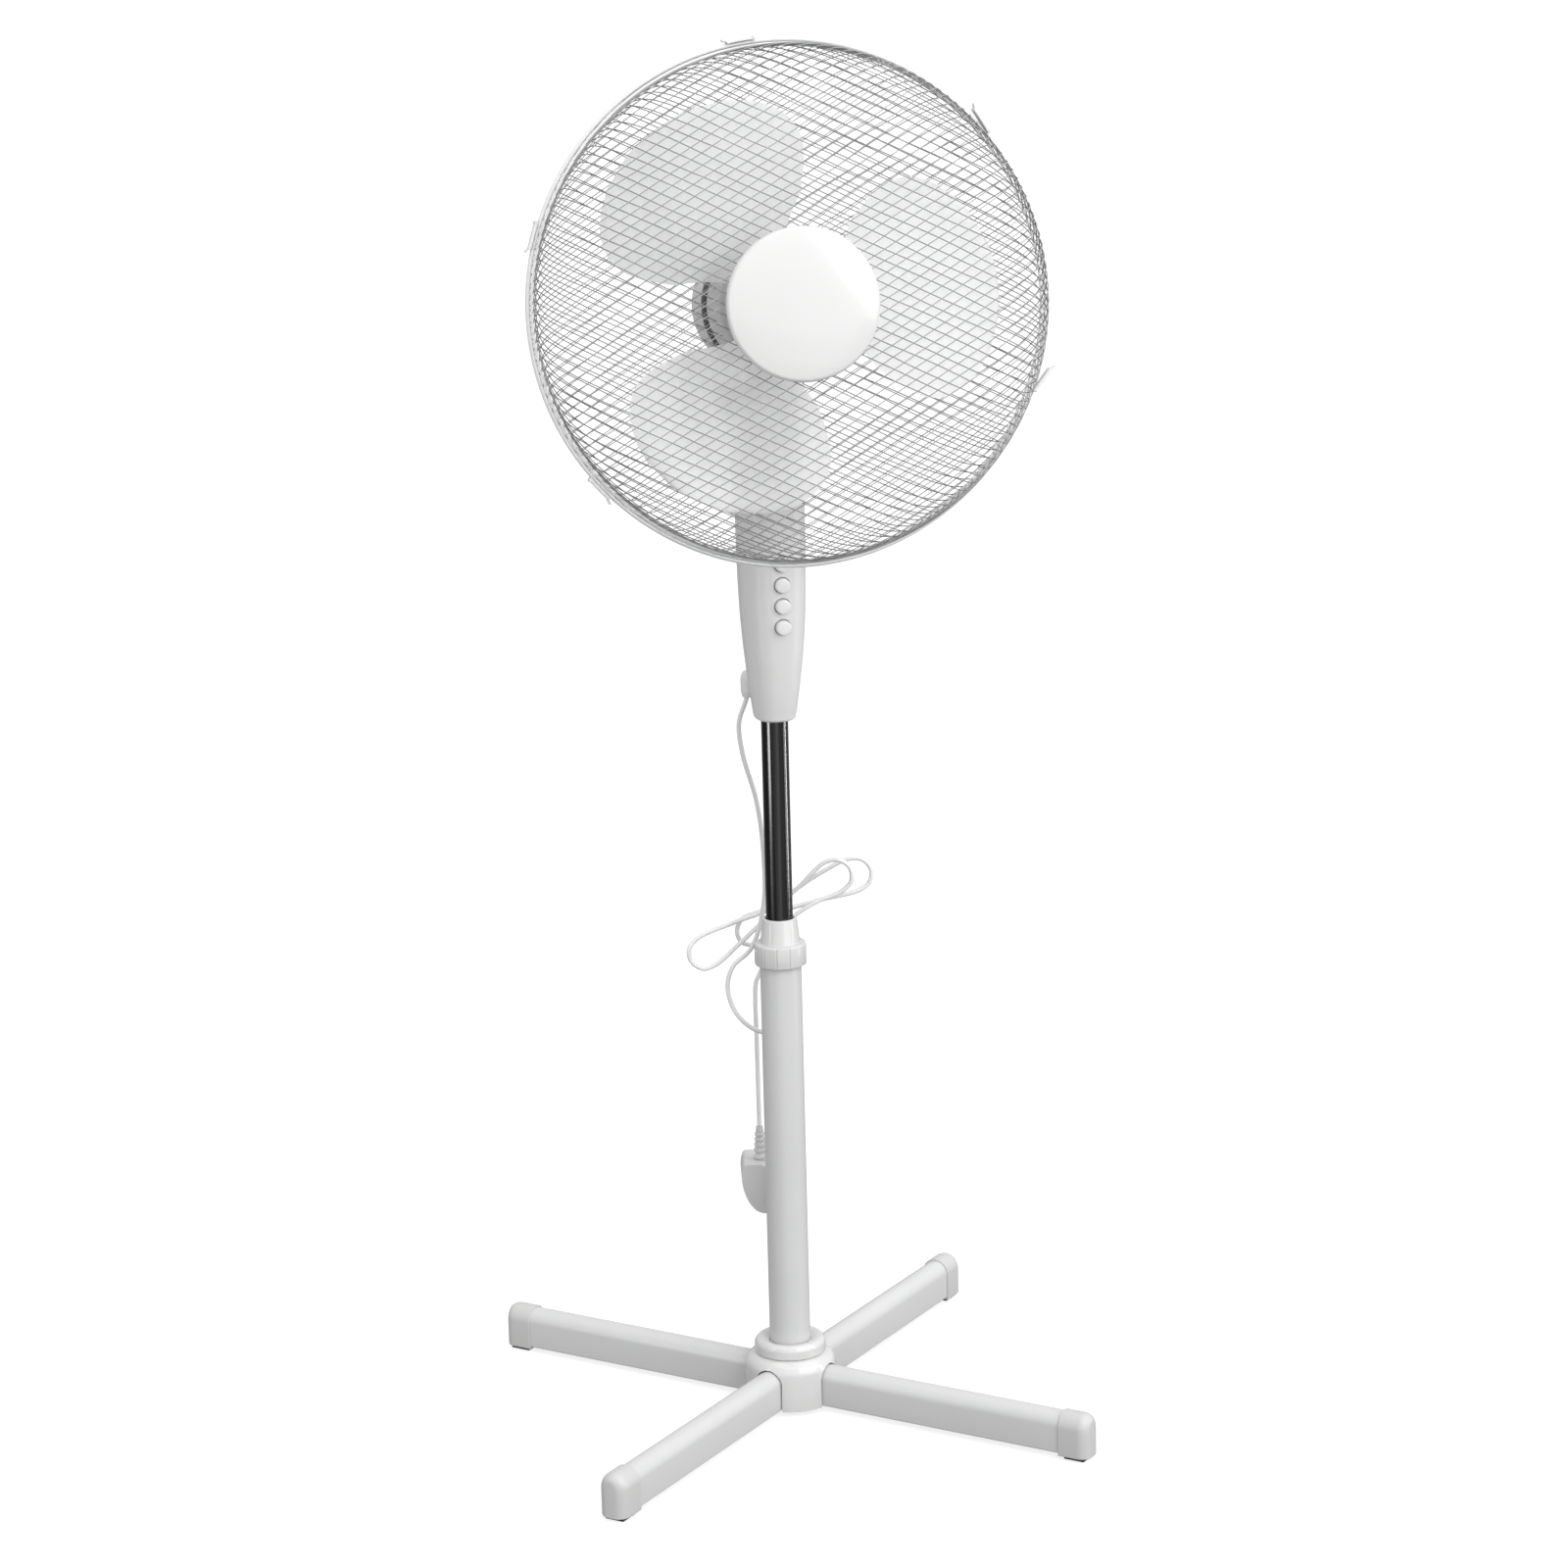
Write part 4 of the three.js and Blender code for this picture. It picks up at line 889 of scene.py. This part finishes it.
def build_column():
    seam = 0.006
    front = column_shell(-math.pi + seam, -seam)
    holes = []
    for i in range(BUTTON_COUNT):
        hole = rod(BUTTON_RADIUS + 0.8, 20, 60, 48)
        holes.append(moved(hole, shift(z=button_height(i)) @ turn("X", 90)))
    front = cut(front, *holes)
    piece("column_front_shell", front, STAND, "column", "white_plastic",
          ["control_housing_front"], smooth=40)
    rear = column_shell(seam, math.pi - seam)
    piece("column_rear_shell", rear, STAND, "column", "white_plastic",
          ["control_housing_rear"], smooth=40)
    for i in range(BUTTON_COUNT):
        cap = turned([
            (0, 32.3), (BUTTON_RADIUS + 1.2, 32.3), (BUTTON_RADIUS + 1.2, 33.2), (BUTTON_RADIUS, 33.2),
            (BUTTON_RADIUS, 43.2, 1.4), (BUTTON_RADIUS - 2, 44, 2), (0, 44.3),
        ], 48)
        place = STAND @ shift(z=button_height(i) * MM) @ turn("X", 90)
        piece(f"button_cap_{i}", cap, place, f"button_{i}", "white_plastic", [f"speed_button_{i}"],
              "button_plastic")
    gland = turned([
        (3.2, 656), (5, 656, 0.8), (6.3, 661.5, 2), (6.4, 674, 3), (4.4, 679.4, 2), (0, 680.5),
        (0, 660), (3.2, 660),
    ], 48, closed=True)
    place = STAND @ shift(-0.017, 0.026)
    piece("lead_gland", gland, place, "column", "white_plastic", ["cord_gland"])


# ---------- Guards ----------
RING_RADIUS = 214.6
FRONT_Z = 175
REAR_Z = 168
SEAM_Z = (FRONT_Z + REAR_Z) / 2
FRONT_DEPTH = 75
REAR_DEPTH = 80
MESH_LONG = 17.6
MESH_SHORT = 9.7
MESH_TURN = 1.5
WIRE_RADIUS = 0.45


class Dome:
    """A pan-shaped dome: distance round its surface from the centre gives radius, depth and slope."""

    def __init__(self, radius, depth, squareness):
        angle = np.linspace(0, math.pi / 2, 600)
        self.radius = radius * np.sin(angle) ** (2 / squareness)
        self.height = depth * np.cos(angle) ** (2 / squareness)
        run = np.hypot(np.diff(self.radius), np.diff(self.height))
        self.arc = np.concatenate([[0], np.cumsum(run)])
        self.edge = self.arc[-1]

    def points(self, x, y, lift):
        arc = np.hypot(x, y)
        radius = np.interp(arc, self.arc, self.radius)
        height = np.interp(arc, self.arc, self.height)
        ahead = np.clip(arc + 1.0, 0, self.edge)
        back = np.clip(arc - 1.0, 0, self.edge)
        dr = np.interp(ahead, self.arc, self.radius) - np.interp(back, self.arc, self.radius)
        dh = np.interp(ahead, self.arc, self.height) - np.interp(back, self.arc, self.height)
        length = np.hypot(dr, dh)
        radius = radius - lift * dh / length
        height = height + lift * dr / length
        ux = x / np.maximum(arc, 1e-9)
        uy = y / np.maximum(arc, 1e-9)
        return np.column_stack([ux * radius, uy * radius, height])


# A round bar swept along rows of points, as vertices and faces.
def swept(path, radius, sides):
    tangent = np.gradient(path, axis=0)
    tangent /= np.linalg.norm(tangent, axis=1)[:, None]
    side = np.cross(tangent, [0.0, 0.0, 1.0])
    weak = np.linalg.norm(side, axis=1) < 0.05
    side[weak] = np.cross(tangent[weak], [0.0, 1.0, 0.0])
    side /= np.linalg.norm(side, axis=1)[:, None]
    for i in range(1, len(side)):
        if side[i] @ side[i - 1] < 0:
            side[i] = -side[i]
    up = np.cross(tangent, side)
    angle = np.linspace(0, 2 * math.pi, sides, endpoint=False)
    ring = np.cos(angle)[None, :, None] * side[:, None] + np.sin(angle)[None, :, None] * up[:, None]
    return (path[:, None] + radius * ring).reshape(-1, 3)


def swept_faces(count, sides, first):
    faces = []
    for i in range(count - 1):
        for k in range(sides):
            a = first + i * sides + k
            b = first + i * sides + (k + 1) % sides
            faces.append((a, b, b + sides, a + sides))
    faces.append(tuple(first + k for k in range(sides))[::-1])
    last = first + (count - 1) * sides
    faces.append(tuple(last + k for k in range(sides)))
    return faces


# The wires of one direction: 1 for those on top, which rise to the right, and -1 for the others.
def wire_mesh(dome, family, hole=0.0, sides=5, step=6.0):
    turned_by = math.radians(MESH_TURN)
    slope = math.atan2(MESH_SHORT, MESH_LONG)
    side = math.hypot(MESH_LONG, MESH_SHORT) / 2
    pitch = side * math.sin(2 * slope)
    vertices = []
    faces = []
    first = 0
    direction = turned_by + family * slope
    along = np.array([math.cos(direction), math.sin(direction)])
    across = np.array([-along[1], along[0]])
    most = int(dome.edge / pitch)
    for k in range(-most, most + 1):
        offset = k * pitch
        reach = math.sqrt(dome.edge**2 - offset**2)
        spans = [(-reach, reach)]
        if abs(offset) < hole:
            inner = math.sqrt(hole**2 - offset**2)
            spans = [(-reach, -inner), (inner, reach)]
        for low, high in spans:
            count = max(3, int((high - low) / step))
            s = np.linspace(low, high, count)
            x = along[0] * s + across[0] * offset
            y = along[1] * s + across[1] * offset
            stray = 0.35 * np.sin(x * 0.071 + k * 1.7) + 0.35 * np.sin(y * 0.093 + k * 0.9)
            path = dome.points(x + across[0] * stray, y + across[1] * stray, family * WIRE_RADIUS)
            vertices.append(swept(path, WIRE_RADIUS, sides))
            faces += swept_faces(count, sides, first)
            first += count * sides
    mesh = bpy.data.meshes.new("wires")
    mesh.from_pydata(np.concatenate(vertices), [], faces)
    return mesh


def ring_mesh(radius, thick_r, thick_z, z, around=192, sides=16):
    rings = []
    for k in range(around + 1):
        angle = 2 * math.pi * k / around
        ring = []
        for j in range(sides):
            turn_by = 2 * math.pi * j / sides
            r = radius + thick_r * math.cos(turn_by)
            ring.append((r * math.cos(angle), r * math.sin(angle), z + thick_z * math.sin(turn_by)))
        rings.append(ring)
    return lofted(rings, caps=False)


# The wire ring under the centre plate, to which the wires are welded.
def hub_ring(radius, z):
    return ring_mesh(radius, 1.2, 1.2, z, around=96, sides=8)


def build_guards():
    # The two wire families get darker and lighter painted shade; the wires themselves are white.
    paints = ("lighter_shade_painted_wire", "shade_painted_wire", "ring_white_painted_light", "white_paint")
    front_dome = Dome(210, FRONT_DEPTH, 5)
    front = merged(
        moved(wire_mesh(front_dome, 1), shift(z=FRONT_Z)),
        moved(wire_mesh(front_dome, -1), shift(z=FRONT_Z)),
        ring_mesh(210.8, 1.8, 2, FRONT_Z),
        hub_ring(58, FRONT_Z + FRONT_DEPTH - 0.4),
        materials=paints,
    )
    piece("front_wire_guard", front, MOTOR, "head", "white_paint", ["front_guard"], smooth=60)
    rear_dome = Dome(RING_RADIUS, REAR_DEPTH, 2.8)
    hole = 52
    behind = shift(z=REAR_Z) @ Matrix.Scale(-1, 4, (0, 0, 1))
    plate = turned([
        (20.8, -1), (30, -1, 1), (33, -3, 1), (44, -3, 1), (47, -1, 1), (57, -1, 0.8), (58, 0, 0.5),
        (57, 1, 0.5), (47, 1, 1), (44, -1, 1), (33, -1, 1), (30, 1, 1), (20.8, 1),
    ], closed=True)
    rear = merged(
        moved(wire_mesh(rear_dome, 1, hole), behind),
        moved(wire_mesh(rear_dome, -1, hole), behind),
        ring_mesh(RING_RADIUS, 1.9, 4.2, SEAM_Z),
        moved(plate, shift(z=REAR_Z - REAR_DEPTH)),
        materials=paints,
    )
    piece("rear_wire_guard", rear, MOTOR, "head", "white_paint", ["rear_guard"], smooth=60)


def build_badge():
    low = FRONT_Z + FRONT_DEPTH + 1.4
    badge = turned([
        (0, low), (61.4, low, 0.6), (62.5, low + 1.2, 0.6), (62.5, low + 7, 2.4),
        (60.8, low + 9.6, 2.4), (50, low + 11.8, 8), (30, low + 13.8, 12), (0, low + 14.6),
    ], 128)
    piece("guard_centre_plate", badge, MOTOR, "head", "white_plastic", ["guard_badge"],
          "badge_plastic")


CLIP_ANGLES = (97, 161.4, 220.2, -20, 39.5)
CLIP_OPENINGS = (0, 0, 0, 20, 10)
CLIP_PIVOT = (RING_RADIUS + 5.4, -9, 0)


# A clip is a curved channel close over both rings, with a flared thumb tab at its free end.
def clip_mesh():
    low, high = REAR_Z - 1.3, FRONT_Z + 1.3
    wall = 1.6
    inner = RING_RADIUS + 2.4
    lip = RING_RADIUS + 1.4
    section = [
        (inner + wall, low - wall, 0.8), (inner + wall, high + wall, 0.8), (lip, high + wall, 0.5),
        (lip, high, 0.4), (inner, high, 0.5), (inner, low, 0.5), (lip, low, 0.4),
        (lip, low - wall, 0.5),
    ]
    outline = rounded(section, 3, True)
    rings = []
    for arc in np.linspace(-10.5, 13, 15):
        angle = arc / RING_RADIUS
        rings.append([(p.x * math.cos(angle), p.x * math.sin(angle), p.y) for p in outline])
    channel = lofted(rings)
    foot, head = low - wall - 0.4, high + wall + 0.4
    pin = turned([(0, foot), (1.2, foot, 0.4), (1.2, head, 0.4), (0, head)], 24)
    pin = moved(pin, shift(inner + 1.1, CLIP_PIVOT[1]))
    tab = eased(block((-0.8, 0, low + 1), (1.2, 6, high - 1)), 0.5)
    tab = moved(tab, shift(inner + 0.4, 11.2) @ turn("Z", -20))
    return merged(channel, pin, tab)


def build_clips():
    for i, (angle, opening) in enumerate(zip(CLIP_ANGLES, CLIP_OPENINGS), 1):
        swing = shift(*CLIP_PIVOT) @ turn("Z", -opening) @ shift(*[-v for v in CLIP_PIVOT])
        mesh = moved(clip_mesh(), turn("Z", angle) @ swing)
        piece(f"ring_clip_{i}", mesh, MOTOR, f"clip_{i}", "white_plastic", [f"guard_clip_{i}"],
              "button_plastic")


# ---------- Blades ----------
BLADE_Z = 152
BLADE_ROOT = 19
BLADE_TIP = 178
BLADE_ANGLE = 4


def blade_mesh(rows=36, columns=28):
    rings = []
    for i in range(rows + 1):
        u = i / rows
        radius = BLADE_ROOT + (BLADE_TIP - BLADE_ROOT) * u
        swell = 0.5 + 0.5 * min(1, u / 0.45) ** 0.8
        shape = math.sqrt(max(0.02, 1 - 0.95 * max(0, (u - 0.5) / 0.5) ** 3.2))
        half = math.radians(43) * swell * shape
        pitch = math.radians(30 - 13 * u)
        upper = []
        lower = []
        for k in range(columns + 1):
            v = 2 * k / columns - 1
            angle = v * half
            rise = -math.tan(pitch) * radius * angle * 0.8 + 5 * (1 - v * v)
            thick = 0.5 + 0.9 * (1 - v * v) * (1 - 0.5 * u)
            x, y = radius * math.cos(angle), radius * math.sin(angle)
            upper.append((x, y, rise + thick))
            lower.insert(0, (x, y, rise - thick))
        rings.append(upper + lower)
    return lofted(rings)


def build_blades():
    hub = turned([
        (4.3, BLADE_Z - 24, 0.5), (24, BLADE_Z - 24, 1), (24, BLADE_Z + 17, 3), (21, BLADE_Z + 20, 2),
        (4.3, BLADE_Z + 20, 0.5),
    ], closed=True)
    blades = [moved(blade_mesh(), turn("Z", BLADE_ANGLE + 120 * i) @ shift(z=BLADE_Z))
              for i in range(3)]
    piece("blade_wheel", merged(hub, *blades), MOTOR, "rotor", "frosted_plastic", ["fan_blades"],
          smooth=50)
    base = BLADE_Z + 20.3
    nut = turned([
        (4.3, base), (15, base, 1), (14.4, base + 8, 2), (9, base + 15, 4), (4.3, base + 16.4, 1),
    ], closed=True)
    ribs = [moved(eased(block((13, -1.2, base + 0.6), (16.6, 1.2, base + 8)), 0.5), turn("Z", 60 * k))
            for k in range(6)]
    piece("blade_spinner", merged(nut, *ribs), MOTOR, "rotor", "frosted_plastic", ["blade_nut"])


# ---------- Motor covers and neck ----------
def build_motor_covers():
    front = turned([
        (4.4, 81), (39, 81, 4), (50.5, 76.4, 6), (55, 65, 4), (55, 44.3), (57, 44.3, 0.4), (57, 66, 6),
        (52, 78, 6), (40, 83, 4), (20, 83, 0.6), (20, 100, 0.6), (16, 100, 0.4), (16, 86), (4.4, 86),
    ], closed=True)
    # The front cover's near-black finish is partly painted shade.
    piece("motor_front_shell", front, MOTOR, "head", "dark_iron", ["motor_front_cover"],
          "dark_motor_painted_shade")
    rear = turned([
        (0, -86), (18, -85, 10), (34, -79, 12), (47, -66, 14), (54.5, -46, 16), (58, -20, 10),
        (58, 44, 0.8), (56, 44, 0.4), (56, -19.6, 10), (52.6, -45.4, 14), (45.4, -64.8, 12),
        (33, -77.2, 10), (17.5, -83, 8), (0, -84),
    ])
    upright = turn("X", -90) @ shift(z=-80)
    opening = moved(block((-29, -29, -40), (29, 52, 50)), upright)
    knob_hole = moved(rod(3.8, 100, 160, 32), upright @ shift(y=30))
    slots = []
    slot_count = 20
    for k in range(slot_count):
        angle = 360 / slot_count * (k + 0.5)
        slot = moved(eased(block((24, -2, -100), (40, 2, -60)), 1.2), turn("Z", angle))
        slots.append(slot)
    rear = cut(rear, opening, knob_hole, merged(*slots))
    piece("motor_rear_shell", rear, MOTOR, "head", "white_plastic", ["motor_rear_cover"])
    knob = turned([
        (0, 90), (3, 90, 0.3), (3, 139), (8, 139, 0.8), (8.6, 152, 2.5), (6.5, 155, 1.5), (0, 155.6),
    ], 48)
    piece("oscillation_pull_knob", knob, HEAD @ shift(y=0.03), "oscillation_pull", "white_plastic",
          ["oscillation_knob"], "gloss_plastic")
    nut = turned([
        (20.6, 89.6), (33, 89.6, 1), (35, 92, 1), (35, 98, 1), (30, 100, 1), (20.6, 100, 0.4),
    ], closed=True)
    grips = [moved(eased(block((33.5, -2.2, 91), (36.4, 2.2, 99)), 0.8), turn("Z", 30 * k))
             for k in range(12)]
    piece("guard_ring_nut", merged(nut, *grips), MOTOR, "head", "white_plastic", ["guard_nut"])


def build_neck():
    bolt_z = 925
    bolt_hole = 4.4
    across = turn("Y", 90)
    at_bolt = shift(z=bolt_z) @ across
    half = 21
    ear_wide = 7
    ear_deep = 15

    def ear(low):
        disc = moved(rod(ear_deep, low, low + ear_wide), at_bolt)
        return fused(disc, block((low, -ear_deep, 899), (low + ear_wide, ear_deep, bolt_z)))

    socket = fused(rod(17, 838, 900), block((-half, -ear_deep, 899), (half, ear_deep, 905)))
    yoke = fused(socket, ear(-half), ear(half - ear_wide))
    yoke = cut(yoke, rod(12.3, 800, 867), moved(rod(bolt_hole, -40, 40, 32), at_bolt))
    piece("tilt_yoke", eased(yoke, 1.2, 3), STAND, "column", "white_plastic", ["neck_yoke"])
    knob_rows = []
    around = 72
    for z, grow in ((-40, -1.2), (-39.4, -0.4), (-38.4, 0), (-29.4, 0), (-28.4, -0.4), (-28, -1.2)):
        row = []
        for k in range(around):
            angle = 2 * math.pi * k / around
            r = 14.5 + grow + 1.5 * math.cos(6 * angle)
            row.append((r * math.cos(angle), r * math.sin(angle), z))
        knob_rows.append(row)
    knob = fused(lofted(knob_rows), rod(9, -29, -21.4))
    knob = cut(knob, rod(4.3, -37.4, -10, 32))
    piece("tilt_lock_knob", moved(knob, across), STAND @ shift(z=bolt_z * MM), "tilt_knob_body",
          "white_plastic", ["tilt_knob"], "gloss_plastic")
    knuckle = moved(rod(13, -13.5, 13.5), across)
    bracket = fused(knuckle, block((-11, -11, 0), (11, 11, 32)), rod(26, 29, 33.4, 96),
                    moved(rod(2.4, 33, 37.4, 32), shift(0, 20, 0)))
    bracket = cut(bracket, moved(rod(bolt_hole, -20, 20, 32), across), rod(6.4, 13.6, 60))
    piece("tilt_knuckle", eased(bracket, 0.7), TILTING, "tilt_neck", "white_plastic", ["tilt_bracket"])


build_stage()
place_camera()
build_cord()
dress_cad()
build_legs()
build_feet()
build_hub()
build_post()
build_lock_nut()
build_column()
build_guards()
build_badge()
build_clips()
build_blades()
build_motor_covers()
build_neck()
light_tube()
